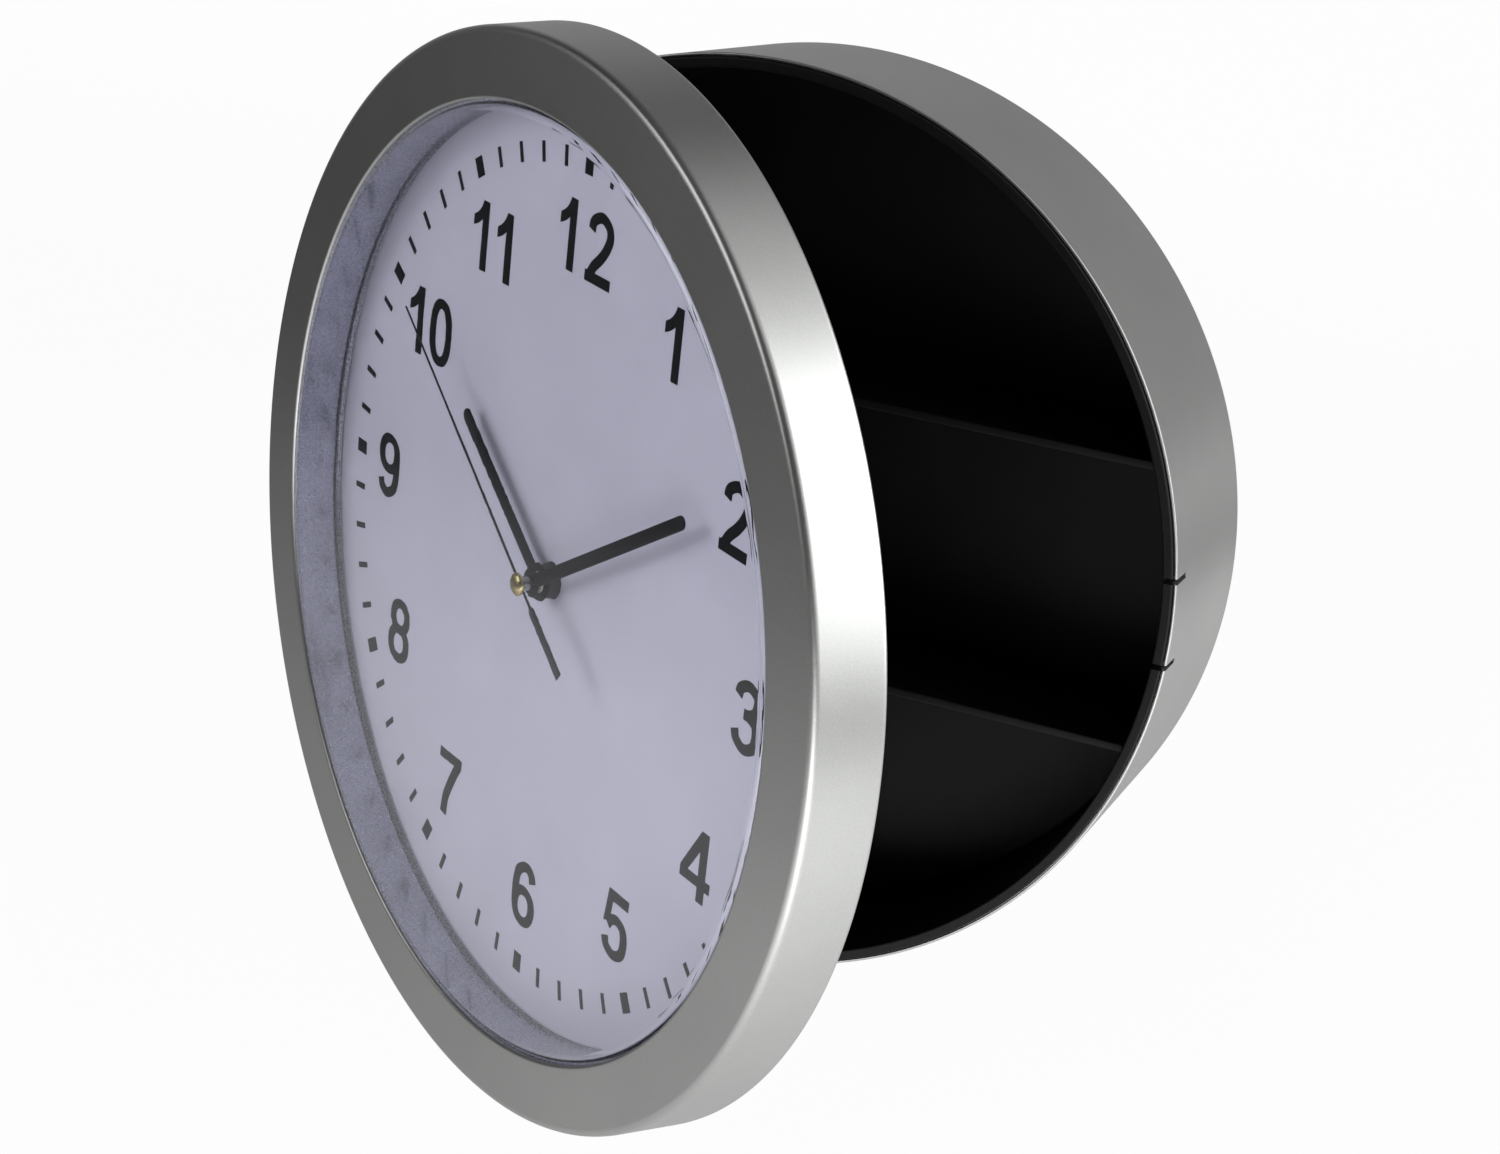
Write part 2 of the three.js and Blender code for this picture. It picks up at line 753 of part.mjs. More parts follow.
function catchHook() {
  const outer = Math.sqrt(catchOuter ** 2 - catchHalfWidth ** 2);
  return slab(
    polygonShape([
      [outer - barbHeight - catchThickness, plateBack - 0.5],
      [outer - barbHeight, plateBack - 0.5],
      [outer - barbHeight, catchReach - barbLength],
      [outer, catchReach - barbLength],
      [outer - barbHeight, catchReach],
      [outer - barbHeight - catchThickness, catchReach],
    ]),
    -catchHalfWidth,
    catchHalfWidth,
  );
}

function hingeEar(side) {
  const start = side * (armInner + armHeight + seat);
  const [low, high] = [start, start + side * earHeight].sort((a, b) => a - b);
  const shape = new THREE.Shape();
  shape.absarc(hingeX, -hingeDepth, knuckleRadius, Math.PI, 2 * Math.PI);
  shape.lineTo(hingeX + knuckleRadius, plateFront + 0.5);
  shape.lineTo(hingeX - knuckleRadius, plateFront + 0.5);
  return slab(shape, low, high);
}

// Clips at three and nine o'clock hold the movement: each hooks over the edge of its cover
function movementClip(side) {
  const near = movementSize / 2 + seat;
  const hookFront = wallEnd + 2 * seat + coverThickness;
  return slab(
    polygonShape([
      [side * near, plateBack - 0.5],
      [side * (near + clipThickness), plateBack - 0.5],
      [side * (near + clipThickness), hookFront + clipHookLength],
      [side * near, hookFront + clipHookLength],
      [side * (near - clipBarb - seat), hookFront + clipHookLength / 2],
      [side * (near - clipBarb - seat), hookFront],
      [side * near, hookFront],
    ]),
    clipBottom,
    clipTop,
  );
}

function armSlot(side) {
  const start = side * (armInner - 2 * seat);
  const end = side * (armInner + armHeight + seat);
  return block([-doorRadius, armSlotInside], [plateFront - 1, 1], [start, end].sort((a, b) => a - b));
}

function doorBack() {
  const shape = circleShape(plateRadius, [0, 0], roundSegments);
  shape.holes.push(circleHole(neckRadius + seat));
  for (const angle of Object.values(doorScrewAngles)) {
    shape.holes.push(circleHole(screwRadius + seat, doorBossPlace(angle)));
  }
  const disc = plate(shape, plateFront, plateBack);
  const stopRing = turned([
    [trayLipRadius - stopRingWidth, plateBack - 0.5],
    [trayLipRadius, plateBack - 0.5],
    [trayLipRadius, stopRingFront],
    [trayLipRadius - stopRingWidth, stopRingFront],
  ]);
  const slotted = cut(join(disc, stopRing), armSlot(1), armSlot(-1));
  const eared = join(slotted, hingeEar(1), hingeEar(-1), catchHook(), movementClip(1), movementClip(-1));
  return cut(eared, slab(circleShape(hingePinRadius + slip, hingeAxis), -movementSize, movementSize));
}

function hingePin() {
  const half = armInner + armHeight + seat + earHeight;
  return slab(circleShape(hingePinRadius, hingeAxis), -half, half);
}

// Movement case: floor with the neck round the hand tubes, side walls, the wall over the battery, and the posts
const stepAxis = polar(pitchDistance(stepPinion, secondsWheel), stepDirection);
const rotorAxis = polar(pitchDistance(rotorPinion, stepWheel), rotorDirection).map((v, i) => v + stepAxis[i]);
const thirdAxis = polar(pitchDistance(secondsPinion, thirdWheel), thirdDirection);
const workAxis = polar(pitchDistance(minutePinion, workWheel), workDirection);
const knobAxis = polar(pitchDistance(minutePinion, workWheel) + pitchDistance(workWheel, knobPinion), workDirection);
const halfMovement = movementSize / 2;
const insideHalf = halfMovement - movementWall;
const pivotBossRadius = 1.6;
const stoppedAt = layer("bridge")[0] - seat;

function movementCase() {
  const outer = block([-halfMovement, halfMovement], [movementFront, wallEnd], [-halfMovement, halfMovement]);
  const dividerBottom = bayDividerHeight - movementWall;
  const upperRoom = block([-insideHalf, insideHalf], [floorInside, wallEnd + 1], [bayDividerHeight, insideHalf]);
  const bay = block([-insideHalf, insideHalf], [floorInside, wallEnd + 1], [-insideHalf, dividerBottom]);
  const contactGap = contactThickness + 2 * seat;
  const gaps = [-1, 1].map((side) =>
    block(
      [side * insideHalf, side * (insideHalf - contactGap)].sort((a, b) => a - b),
      [floorInside + movementDepth / 2, wallEnd + 1],
      [dividerBottom - 1, bayDividerHeight + 1],
    ),
  );
  const posts = postPlaces.flatMap((place) => [
    rod(postFootRadius, floorInside - 0.5, layer("trainPlate")[0] - seat, place),
    rod(postRadius, floorInside, stoppedAt, place),
  ]);
  const boardPosts = boardPostPlaces.map((place) =>
    rod(postFootRadius, floorInside - 0.5, layer("board")[0] - seat, place),
  );
  const neck = rod(neckRadius, neckFront, movementFront + 0.5, [0, 0], 20);
  const workStud = rod(arborRadius, floorInside - 0.5, layer("workWheel")[1] + seat, workAxis, 12);
  const pivotBosses = [thirdAxis, knobAxis].map((place) => rod(pivotBossRadius, floorInside - 0.5, floorInside + 1, place));
  const pivotBores = [
    rod(arborRadius + slip, floorInside, wallEnd, thirdAxis, 12),
    rod(knobShaftRadius + slip, floorInside, floorInside + 1.5, knobAxis, 12),
  ];
  const hollow = cut(outer, upperRoom, bay, ...gaps);
  const fitted = join(hollow, neck, ...posts, ...boardPosts, workStud, ...pivotBosses);
  return cut(fitted, rod(hourTubeRadius + slip, neckFront - 1, floorInside + 1), ...pivotBores);
}

function movementCover() {
  const shape = polygonShape([
    [-halfMovement, bayDividerHeight - movementWall],
    [halfMovement, bayDividerHeight - movementWall],
    [halfMovement, halfMovement],
    [-halfMovement, halfMovement],
  ]);
  shape.holes.push(circleHole(knobShaftRadius + slip, knobAxis));
  return plate(shape, wallEnd + seat, wallEnd + seat + coverThickness);
}

function rectangleWithHoles([x0, x1], [z0, z1], holes) {
  const shape = polygonShape([
    [x0, z0],
    [x1, z0],
    [x1, z1],
    [x0, z1],
  ]);
  shape.holes.push(...holes);
  return shape;
}

const frameWidth = [-13.2, 19.6];
const frameHeight = [bayDividerHeight + seat, rotorAxis[1] + 2];

function trainPlate() {
  const postHoles = postPlaces.map((place) => circleHole(postRadius + seat, place));
  const shape = rectangleWithHoles(frameWidth, frameHeight, [
    ...postHoles,
    circleHole(minuteTubeRadius),
    circleHole(1.6, thirdAxis),
    circleHole(arborRadius + slip, stepAxis),
    circleHole(rotorArborRadius + slip, rotorAxis),
    circleHole(knobShaftRadius + slip, knobAxis),
  ]);
  return plate(shape, ...layer("trainPlate"));
}

function rearBridge() {
  const pivots = [[0, 0], stepAxis, thirdAxis].map((place) => circleHole(arborRadius + slip, place));
  const shape = rectangleWithHoles(frameWidth, frameHeight, [
    ...pivots,
    circleHole(rotorArborRadius + slip, rotorAxis),
    circleHole(knobShaftRadius + slip, knobAxis),
  ]);
  return plate(shape, ...layer("bridge"));
}

// Stator: a ring round the rotor's magnet, two legs, and the core that passes through the coil
function stator() {
  const [front, back] = layer("stator");
  const hole = magnetRadius + 2 * seat;
  const [x, z] = rotorAxis;
  const barLow = z - statorBarHeight / 2;
  const bar = block([-statorHalfWidth, statorHalfWidth], [front, back], [barLow, barLow + statorBarHeight]);
  const ring = rod(hole + statorRingWidth, front, back, rotorAxis, 24);
  const legs = [-1, 1].map((side) =>
    block(
      [side * statorHalfWidth, side * (statorHalfWidth - statorLegWidth)].sort((a, b) => a - b),
      [front, back],
      [barLow, coilHeight + coreHalfHeight],
    ),
  );
  const core = block(
    [-statorHalfWidth, statorHalfWidth],
    [front, back],
    [coilHeight - coreHalfHeight, coilHeight + coreHalfHeight],
  );
  return cut(join(bar, ring, ...legs, core), rod(hole, front - 1, back + 1, [x, z], 24));
}

// Pieces turned about the coil's axis, which runs along x
function coilTurned(outline) {
  const [front, back] = layer("stator");
  return turned(outline, 20).rotateZ(Math.PI / 2).translate(0, (front + back) / 2, coilHeight);
}

function coilBobbin() {
  const half = coilLength / 2 + seat;
  const tube = bobbinBore + bobbinWall;
  const flange = coilRadius + seat;
  return coilTurned([
    [bobbinBore, -half - coilFlange],
    [flange, -half - coilFlange],
    [flange, -half],
    [tube, -half],
    [tube, half],
    [flange, half],
    [flange, half + coilFlange],
    [bobbinBore, half + coilFlange],
  ]);
}

function coilWinding() {
  const half = coilLength / 2;
  const inner = bobbinBore + bobbinWall + slip;
  return coilTurned([
    [inner, -half],
    [coilRadius, -half],
    [coilRadius, half],
    [inner, half],
  ]);
}

// Battery lying along x in its bay
const batteryAxis = [floorInside + seat + batteryRadius, (bayDividerHeight - movementWall - insideHalf) / 2];

function battery() {
  const half = batteryLength / 2;
  const nubHalf = batteryNubLength / 2;
  return turned(
    [
      [0, -half - nubHalf],
      [batteryRadius - 0.5, -half - nubHalf],
      [batteryRadius, -half - nubHalf + 0.5],
      [batteryRadius, half - nubHalf - 0.5],
      [batteryRadius - 0.5, half - nubHalf],
      [batteryNubRadius, half - nubHalf],
      [batteryNubRadius, half + nubHalf],
      [0, half + nubHalf],
    ],
    24,
  ).rotateZ(-Math.PI / 2);
}

// Contact strip against an end wall of the bay, with a raised pad for the battery and a tail up to the board
function contact(side, padRadius) {
  const wall = side * (insideHalf - seat);
  const face = wall - side * contactThickness;
  const batteryEnd = side * (batteryLength + batteryNubLength) / 2 + side * seat;
  const strip = (y, z) => block([wall, face].sort((a, b) => a - b), y, z);
  const padY = batteryAxis[0];
  const bayRoom = [-insideHalf + 2, bayDividerHeight - movementWall - 1];
  const tail = [layer("board")[0], wallEnd - 0.5];
  const pad = new THREE.CylinderGeometry(padRadius, padRadius, Math.abs(batteryEnd - wall), smallSegments)
    .rotateZ(Math.PI / 2)
    .translate((batteryEnd + wall) / 2, padY, batteryAxis[1]);
  return join(
    strip([floorInside + seat, wallEnd - 0.5], bayRoom),
    strip(tail, [bayRoom[1] - 1, boardBottom + 3]),
    pad,
  );
}

// Wheels. Each is built about its own axis and placed there.
const thirdWheelPhase = meshPhase(secondsPinion, 0, thirdWheel, thirdDirection);
const centreWheelPhase = meshPhase(thirdPinion, 0, centreWheel, thirdDirection + 180);
const stepPinionPhase = meshPhase(secondsWheel, 0, stepPinion, stepDirection);
const rotorPinionPhase = meshPhase(stepWheel, 0, rotorPinion, rotorDirection);
const workWheelPhase = meshPhase(minutePinion, 0, workWheel, workDirection);
const hourWheelPhase = meshPhase(workPinion, 0, hourWheel, workDirection + 180);
const knobPinionPhase = meshPhase(workWheel, workWheelPhase, knobPinion, workDirection);
const pivotBack = layer("bridge")[1] - seat;
const hourHandBack = dialFront - hourHandStand;
const minuteHandBack = dialFront - minuteHandStand;
const secondHandBack = dialFront - secondHandStand;
const hourTubeFront = hourHandBack - handThickness - 0.4;
const minuteTubeFront = minuteHandBack - handThickness - 0.4;
const secondTubeEnd = minuteTubeFront - seat;
const secondsArborFront = secondHandBack - secondHandThickness - 0.1;

function hourWheelBody() {
  const tube = rod(hourTubeRadius, hourTubeFront, layer("hourWheel")[1]);
  const bore = rod(hourTubeRadius - tubeWall, hourTubeFront - 1, layer("hourWheel")[1] + 1);
  return cut(join(tube, gear(hourWheel, hourWheelPhase, layer("hourWheel"))), bore);
}

function minuteArborBody() {
  const flange = layer("arborFlange");
  const shoulder = layer("minutePinion")[0] - seat;
  const bore = minuteTubeRadius - tubeWall;
  const arbor = turned(
    [
      [bore, minuteTubeFront],
      [minuteTubeRadius, minuteTubeFront],
      [minuteTubeRadius, shoulder],
      [minuteNeckRadius, shoulder],
      [minuteNeckRadius, flange[0]],
      [minuteTubeRadius, flange[0]],
      [minuteTubeRadius, flange[1]],
      [bore, flange[1]],
    ],
    smallSegments,
  );
  const teeth = cut(gear(minutePinion, 0, layer("minutePinion")), rod(bore + 0.1, minuteTubeFront, flange[1]));
  return join(arbor, teeth);
}

function centreWheelBody() {
  const [front, back] = layer("centreWheel");
  return cut(gear(centreWheel, centreWheelPhase, [front, back]), rod(minuteNeckRadius + slip, front - 1, back + 1));
}

function secondsWheelBody() {
  return join(
    rod(arborRadius, secondsArborFront, pivotBack, [0, 0], 12),
    gear(secondsPinion, 0, layer("secondsPinion")),
    gear(secondsWheel, 0, layer("secondsWheel")),
  );
}

function thirdWheelBody() {
  return join(
    rod(arborRadius, floorInside + seat, pivotBack, [0, 0], 12),
    gear(thirdPinion, 0, layer("thirdPinion")),
    gear(thirdWheel, thirdWheelPhase, layer("thirdWheel")),
  );
}

function stepWheelBody() {
  return join(
    rod(arborRadius, layer("trainPlate")[0] + seat, pivotBack, [0, 0], 12),
    gear(stepPinion, stepPinionPhase, layer("stepPinion")),
    gear(stepWheel, 0, layer("stepWheel")),
  );
}

function rotorBody() {
  return join(
    rod(rotorArborRadius, layer("trainPlate")[0] + seat, pivotBack, [0, 0], 12),
    rod(magnetRadius, ...layer("magnet"), [0, 0], 20),
    gear(rotorPinion, rotorPinionPhase, layer("rotorPinion")),
  );
}

function workWheelBody() {
  const [front] = layer("workPinion");
  const [, back] = layer("workWheel");
  const wheel = join(
    gear(workPinion, 0, layer("workPinion")),
    gear(workWheel, workWheelPhase, layer("workWheel")),
  );
  return cut(wheel, rod(arborRadius + slip / 2, front - 1, back + 1, [0, 0], 12));
}

function setKnobBody() {
  const knobFront = wallEnd + seat + coverThickness + seat;
  const shaft = rod(knobShaftRadius, floorInside + seat, knobFront + 1, [0, 0], 12);
  const disc = turned(
    [
      [0, knobFront],
      [knobRadius, knobFront],
      [knobRadius, knobFront + knobHeight - 0.6],
      [knobRadius - 0.6, knobFront + knobHeight],
      [knobRadius - 1.6, knobFront + knobHeight],
      [knobRadius - 2.2, knobFront + knobHeight - 0.8],
      [0, knobFront + knobHeight - 0.8],
    ],
    24,
  );
  return join(shaft, disc, gear(knobPinion, knobPinionPhase, layer("knobPinion")));
}

// Hands point to twelve and are turned by their angle on the dial
function handAngle(degrees) {
  return radians(degrees + dialTurn);
}
const secondsAngle = shownSecond * 6;
const minutesAngle = (shownMinute + shownSecond / 60) * 6;
const hoursAngle = shownHour * 30 + minutesAngle / 12;

function barHand(length, width, hubRadius, bore, back) {
  const half = width / 2;
  const bar = new THREE.Shape();
  bar.moveTo(half, 0);
  bar.lineTo(half, length - half);
  bar.absarc(0, length - half, half, 0, Math.PI);
  bar.lineTo(-half, 0);
  const front = back - handThickness;
  const collar = rod(bore + 0.6, back - 0.1, back + 0.4);
  return cut(join(plate(bar, front, back), rod(hubRadius, front, back), collar), rod(bore, front - 1, back + 1));
}

function secondHand() {
  const thin = secondHandWidth / 2;
  const wide = secondTailWidth / 2;
  const front = secondHandBack - secondHandThickness;
  const needle = polygonShape([
    [-thin, secondHandLength],
    [-thin, -secondTailStart + 1],
    [-wide, -secondTailStart],
    [-wide, -secondTailLength],
    [wide, -secondTailLength],
    [wide, -secondTailStart],
    [thin, -secondTailStart + 1],
    [thin, secondHandLength],
  ]);
  const bore = arborRadius + slip;
  const tube = rod(bore + secondTubeWall, secondHandBack - 0.1, secondTubeEnd);
  return cut(
    join(plate(needle, front, secondHandBack), rod(secondHandHub, front, secondHandBack), tube),
    rod(bore, front - 1, secondTubeEnd + 1),
  );
}

function handCap() {
  const back = secondsArborFront - slip;
  const front = back - capHeight;
  return turned(
    [
      [0, front],
      ...arcPoints(capRadius - capRound, front + capRound, capRound, -90, 0, 4),
      [capRadius, back],
      [0, back],
    ],
    20,
  );
}

// Assembly of the case
add(caseGroup, "case_shell", caseShell(), silverPaint());
add(caseGroup, "inner_tray", innerTray(), blackPlastic());
for (const [name, height] of Object.entries(shelfHeights)) {
  add(caseGroup, name, shelf(height), blackPlastic());
}
trayScrewPlaces.forEach(([x, z], i) => {
  add(caseGroup, `tray_screw_${i + 1}`, screwAlongY(caseDepth - seat, trayScrewLength), steel(), [x, 0, z]);
});
add(caseGroup, "hinge_bracket", hingeBracket(), blackPlastic());
[1, -1].forEach((side, i) => {
  const place = [-bracketHeadSeat(), bracketMiddle, side * bracketScrewHeight];
  add(caseGroup, `bracket_screw_${i + 1}`, bracketScrew(), steel(), place);
});

// Assembly of the door
add(doorGroup, "bezel", bezel(), silverPaint());
add(doorGroup, "lens", lens(), clearPlastic());
add(doorGroup, "dial", dial(), dialCard());
add(doorGroup, "door_back", doorBack(), blackPlastic());
for (const [name, angle] of Object.entries(doorScrewAngles)) {
  const [x, z] = doorBossPlace(angle);
  add(doorGroup, name, screwAlongY(plateBack + seat + screwHeadHeight, doorScrewLength), steel(), [x, 0, z]);
}
add(doorGroup, "hinge_pin", hingePin(), steel());
add(doorGroup, "movement_case", movementCase(), movementPlastic());
add(doorGroup, "movement_cover", movementCover(), movementPlastic());
add(doorGroup, "train_plate", trainPlate(), movementPlastic());
add(doorGroup, "rear_bridge", rearBridge(), movementPlastic());
add(doorGroup, "stator", stator(), steel());
add(doorGroup, "coil_bobbin", coilBobbin(), whiteGear());
add(doorGroup, "coil_winding", coilWinding(), copper());
const [boardFront, boardBack] = layer("board");
add(
  doorGroup,
  "circuit_board",
  block([-boardHalfWidth, boardHalfWidth], [boardFront, boardBack], [boardBottom, boardTop]),
  greenBoard(),
);
add(
  doorGroup,
  "clock_chip",
  block(
    [chipMiddle - chipSize / 2, chipMiddle + chipSize / 2],
    [boardBack + seat, boardBack + seat + chipThickness],
    [boardBottom + chipRise, boardBottom + chipRise + chipSize],
  ),
  blackPlastic(),
);
const crystal = new THREE.CylinderGeometry(crystalRadius, crystalRadius, crystalLength, smallSegments);
add(doorGroup, "crystal_can", crystal.rotateZ(Math.PI / 2), steel(), [
  crystalMiddle,
  boardBack + slip + crystalRadius,
  boardBottom + crystalRise,
]);
add(doorGroup, "contact_positive", contact(1, 1.6), steel());
add(doorGroup, "contact_negative", contact(-1, 2.2), steel());
add(doorGroup, "battery", battery(), batteryWrap(), [0, ...batteryAxis]);

// Wheels and hands
add(doorGroup, "hour_wheel", hourWheelBody(), whiteGear());
add(doorGroup, "minute_arbor", minuteArborBody(), brass());
add(doorGroup, "centre_wheel", centreWheelBody(), whiteGear());
add(doorGroup, "seconds_wheel", secondsWheelBody(), whiteGear());
add(doorGroup, "third_wheel", thirdWheelBody(), whiteGear(), [thirdAxis[0], 0, thirdAxis[1]]);
add(doorGroup, "step_wheel", stepWheelBody(), whiteGear(), [stepAxis[0], 0, stepAxis[1]]);
add(doorGroup, "rotor", rotorBody(), magnetGrey(), [rotorAxis[0], 0, rotorAxis[1]]);
add(doorGroup, "minute_work_wheel", workWheelBody(), whiteGear(), [workAxis[0], 0, workAxis[1]]);
add(doorGroup, "set_knob", setKnobBody(), movementPlastic(), [knobAxis[0], 0, knobAxis[1]]);
const hourHand = barHand(hourHandLength, hourHandWidth, hourHandHub, hourTubeRadius + slip, hourHandBack);
const minuteHand = barHand(minuteHandLength, minuteHandWidth, minuteHandHub, minuteTubeRadius + slip, minuteHandBack);
add(doorGroup, "hour_hand", hourHand, blackHand()).rotation.y = handAngle(hoursAngle);
add(doorGroup, "minute_hand", minuteHand, blackHand()).rotation.y = handAngle(minutesAngle);
add(doorGroup, "second_hand", secondHand(), blackHand()).rotation.y = handAngle(secondsAngle);
add(doorGroup, "hand_cap", handCap(), brass());

export default clock;
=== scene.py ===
from math import cos, pi, radians, sin

import bmesh
import bpy
import numpy as np
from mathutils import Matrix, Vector


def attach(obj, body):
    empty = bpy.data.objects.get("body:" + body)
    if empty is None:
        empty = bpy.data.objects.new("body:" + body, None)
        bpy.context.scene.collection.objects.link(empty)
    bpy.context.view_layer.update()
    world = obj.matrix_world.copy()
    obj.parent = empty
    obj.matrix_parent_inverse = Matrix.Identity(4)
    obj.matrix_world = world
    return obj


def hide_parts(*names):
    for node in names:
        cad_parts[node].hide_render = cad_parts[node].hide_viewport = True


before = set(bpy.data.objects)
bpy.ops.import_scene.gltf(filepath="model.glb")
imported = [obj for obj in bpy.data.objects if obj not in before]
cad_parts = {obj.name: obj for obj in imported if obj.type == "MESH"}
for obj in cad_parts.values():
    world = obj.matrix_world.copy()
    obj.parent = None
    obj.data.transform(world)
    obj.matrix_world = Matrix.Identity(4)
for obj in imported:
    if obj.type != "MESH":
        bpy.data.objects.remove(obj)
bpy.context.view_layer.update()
print("model loaded")

# Shapes are worked out in millimetres with the door closed: y = 0 is the plane where the rim ends,
# the case lies behind it and the door in front. place = fromCase or fromDoor takes them to the row's frame.
build = {
    "caseDepth": 54.6,
    "hingeX": -120.95,
    "hingeY": -14.3,
    "openAngle": 30.7,
    "dialTurn": 2.0,
}


def fromCase(points):
    return (points + np.array([0, -build["caseDepth"], 0])) / 1000


def fromDoor(points):
    # a turn by the opening angle about the hinge
    c, s = cos(radians(build["openAngle"])), sin(radians(build["openAngle"]))
    x, y, z = np.moveaxis(points, -1, 0)
    dx, dy = x - build["hingeX"], y - build["hingeY"]
    turnedPoints = np.stack([build["hingeX"] + c * dx + s * dy, build["hingeY"] - s * dx + c * dy, z], -1)
    return fromCase(turnedPoints)


def onDial(degrees):
    # the same for a piece that points to twelve and is turned clockwise on the door's axis
    angle = radians(degrees)

    def place(points):
        x, y, z = np.moveaxis(points, -1, 0)
        return fromDoor(np.stack([x * cos(angle) + z * sin(angle), y, z * cos(angle) - x * sin(angle)], -1))

    return place


def moved(place, x, y, z):
    return lambda points: place(points + np.array([x, y, z]))


# Surfaces

def meshPiece(name, points, faces, sharpAngle=35):
    # doubles are merged, so seams and poles close; faces are turned outwards
    mesh = bpy.data.meshes.new(name)
    mesh.from_pydata(points.reshape(-1, 3).tolist(), [], faces)
    work = bmesh.new()
    work.from_mesh(mesh)
    bmesh.ops.remove_doubles(work, verts=work.verts, dist=2e-7)
    bmesh.ops.dissolve_degenerate(work, edges=work.edges, dist=1e-7)
    bmesh.ops.recalc_face_normals(work, faces=work.faces)
    work.to_mesh(mesh)
    work.free()
    mesh.shade_smooth()
    mesh.set_sharp_from_angle(angle=radians(sharpAngle))
    piece = bpy.data.objects.new(name, mesh)
    bpy.context.scene.collection.objects.link(piece)
    return piece


def gridFaces(rows, columns, closeRows, closeColumns, start=0):
    # one face between each four neighbours of the grid
    index = np.arange(rows * columns).reshape(rows, columns) + start
    if closeRows:
        index = np.vstack([index, index[:1]])
    if closeColumns:
        index = np.hstack([index, index[:, :1]])
    quads = np.stack([index[:-1, :-1], index[1:, :-1], index[1:, 1:], index[:-1, 1:]], -1)
    return quads.reshape(-1, 4).tolist()


def rounded(corners, steps=6, lead=0.06):
    # each corner is (a, b, cut); the cut corner is the parabola (1-t)^2 A + 2t(1-t) P + t^2 B
    # through the points A and B at the distance cut before and after the corner P. A point a little
    # before A and one after B keep the shading of the flats beside the curve flat.
    corners = np.array(corners, float)
    p, cutLength = corners[:, :2], corners[:, 2:3]
    before = np.roll(p, 1, 0) - p
    after = np.roll(p, -1, 0) - p
    before /= np.linalg.norm(before, axis=1, keepdims=True)
    after /= np.linalg.norm(after, axis=1, keepdims=True)
    a = p + before * cutLength
    b = p + after * cutLength
    t = np.linspace(0, 1, steps)[:, None, None]
    arcs = (1 - t) ** 2 * a + 2 * t * (1 - t) * p + t ** 2 * b
    arcs = np.concatenate([(a + before * lead)[None], arcs, (b + after * lead)[None]])
    return arcs.transpose(1, 0, 2).reshape(-1, 2)


def turned(name, profile, place, segments=360, steps=6, closed=True):
    # the profile (radius, y) carried round the y axis: (r sin a, y, r cos a)
    outline = rounded(profile, steps) if closed else np.array(profile, float)
    angle = np.linspace(0, 2 * pi, segments, endpoint=False)
    r, y = outline[:, 0:1], outline[:, 1:2]
    grid = np.stack([r * np.sin(angle), y + 0 * angle, r * np.cos(angle)], -1)
    # a profile that starts and ends on the axis is closed by its poles
    return meshPiece(name, place(grid), gridFaces(len(outline), segments, closed and outline[0, 0] > 0, True))


def slab(name, outline, front, back, place, edge=0.15, steps=4, upright=False):
    # a flat outline (x, z) given a thickness along y, with its edges rounded: each ring is the outline
    # moved inwards along its normal by edge (1 - sin u) at a depth of edge (1 - cos u)
    outline = np.array(outline, float)
    ahead = np.roll(outline, -1, 0) - outline
    behind = outline - np.roll(outline, 1, 0)
    ahead /= np.linalg.norm(ahead, axis=1, keepdims=True)
    behind /= np.linalg.norm(behind, axis=1, keepdims=True)
    tangent = ahead + behind
    tangent /= np.linalg.norm(tangent, axis=1, keepdims=True)
    following = np.roll(outline, -1, 0)
    area = np.sum(outline[:, 0] * following[:, 1] - outline[:, 1] * following[:, 0])
    inward = np.stack([-tangent[:, 1], tangent[:, 0]], 1) * np.sign(area)
    inward /= np.clip(np.sum(tangent * ahead, 1, keepdims=True), 0.5, 1)
    u = np.linspace(0, pi / 2, steps)
    inset = edge * (1 - np.sin(u))
    depth = edge * (1 - np.cos(u))
    inset = np.concatenate([inset, inset[::-1]])
    level = np.concatenate([front + depth, back - depth[::-1]])
    flat = outline[None] + inward[None] * inset[:, None, None]
    height = np.broadcast_to(level[:, None], flat.shape[:2])
    order = (flat[..., 0], flat[..., 1], height) if upright else (flat[..., 0], height, flat[..., 1])
    grid = np.stack(order, -1)
    rows, columns = grid.shape[:2]
    faces = gridFaces(rows, columns, False, True)
    faces += [list(range(columns)), list(range((rows - 1) * columns, rows * columns))]
    return meshPiece(name, place(grid), faces)


def withCut(piece, cutters):
    # takes the cutters out of the piece, then removes them
    for cutter in cutters:
        modifier = piece.modifiers.new("cut", "BOOLEAN")
        modifier.object = cutter
        modifier.solver = "EXACT"
    bpy.context.view_layer.update()
    evaluated = piece.evaluated_get(bpy.context.evaluated_depsgraph_get())
    mesh = bpy.data.meshes.new_from_object(evaluated)
    piece.modifiers.clear()
    piece.data = mesh
    mesh.set_sharp_from_angle(angle=radians(35))
    for cutter in cutters:
        bpy.data.objects.remove(cutter)
    return piece


def joined(name, parts):
    # the parts as one piece
    work = bmesh.new()
    for part in parts:
        work.from_mesh(part.data)
        bpy.data.objects.remove(part)
    mesh = bpy.data.meshes.new(name)
    work.to_mesh(mesh)
    work.free()
    mesh.set_sharp_from_angle(angle=radians(35))
    piece = bpy.data.objects.new(name, mesh)
    bpy.context.scene.collection.objects.link(piece)
    return piece


def box(name, x, y, z, place, edge=0.0):
    outline = [(x[0], z[0]), (x[1], z[0]), (x[1], z[1]), (x[0], z[1])]
    return slab(name, outline, y[0], y[1], place, edge=edge)


def circle(radius, count, x=0, z=0):
    a = np.linspace(0, 2 * pi, count, endpoint=False)
    return np.stack([x + radius * np.cos(a), z + radius * np.sin(a)], 1)


# Materials

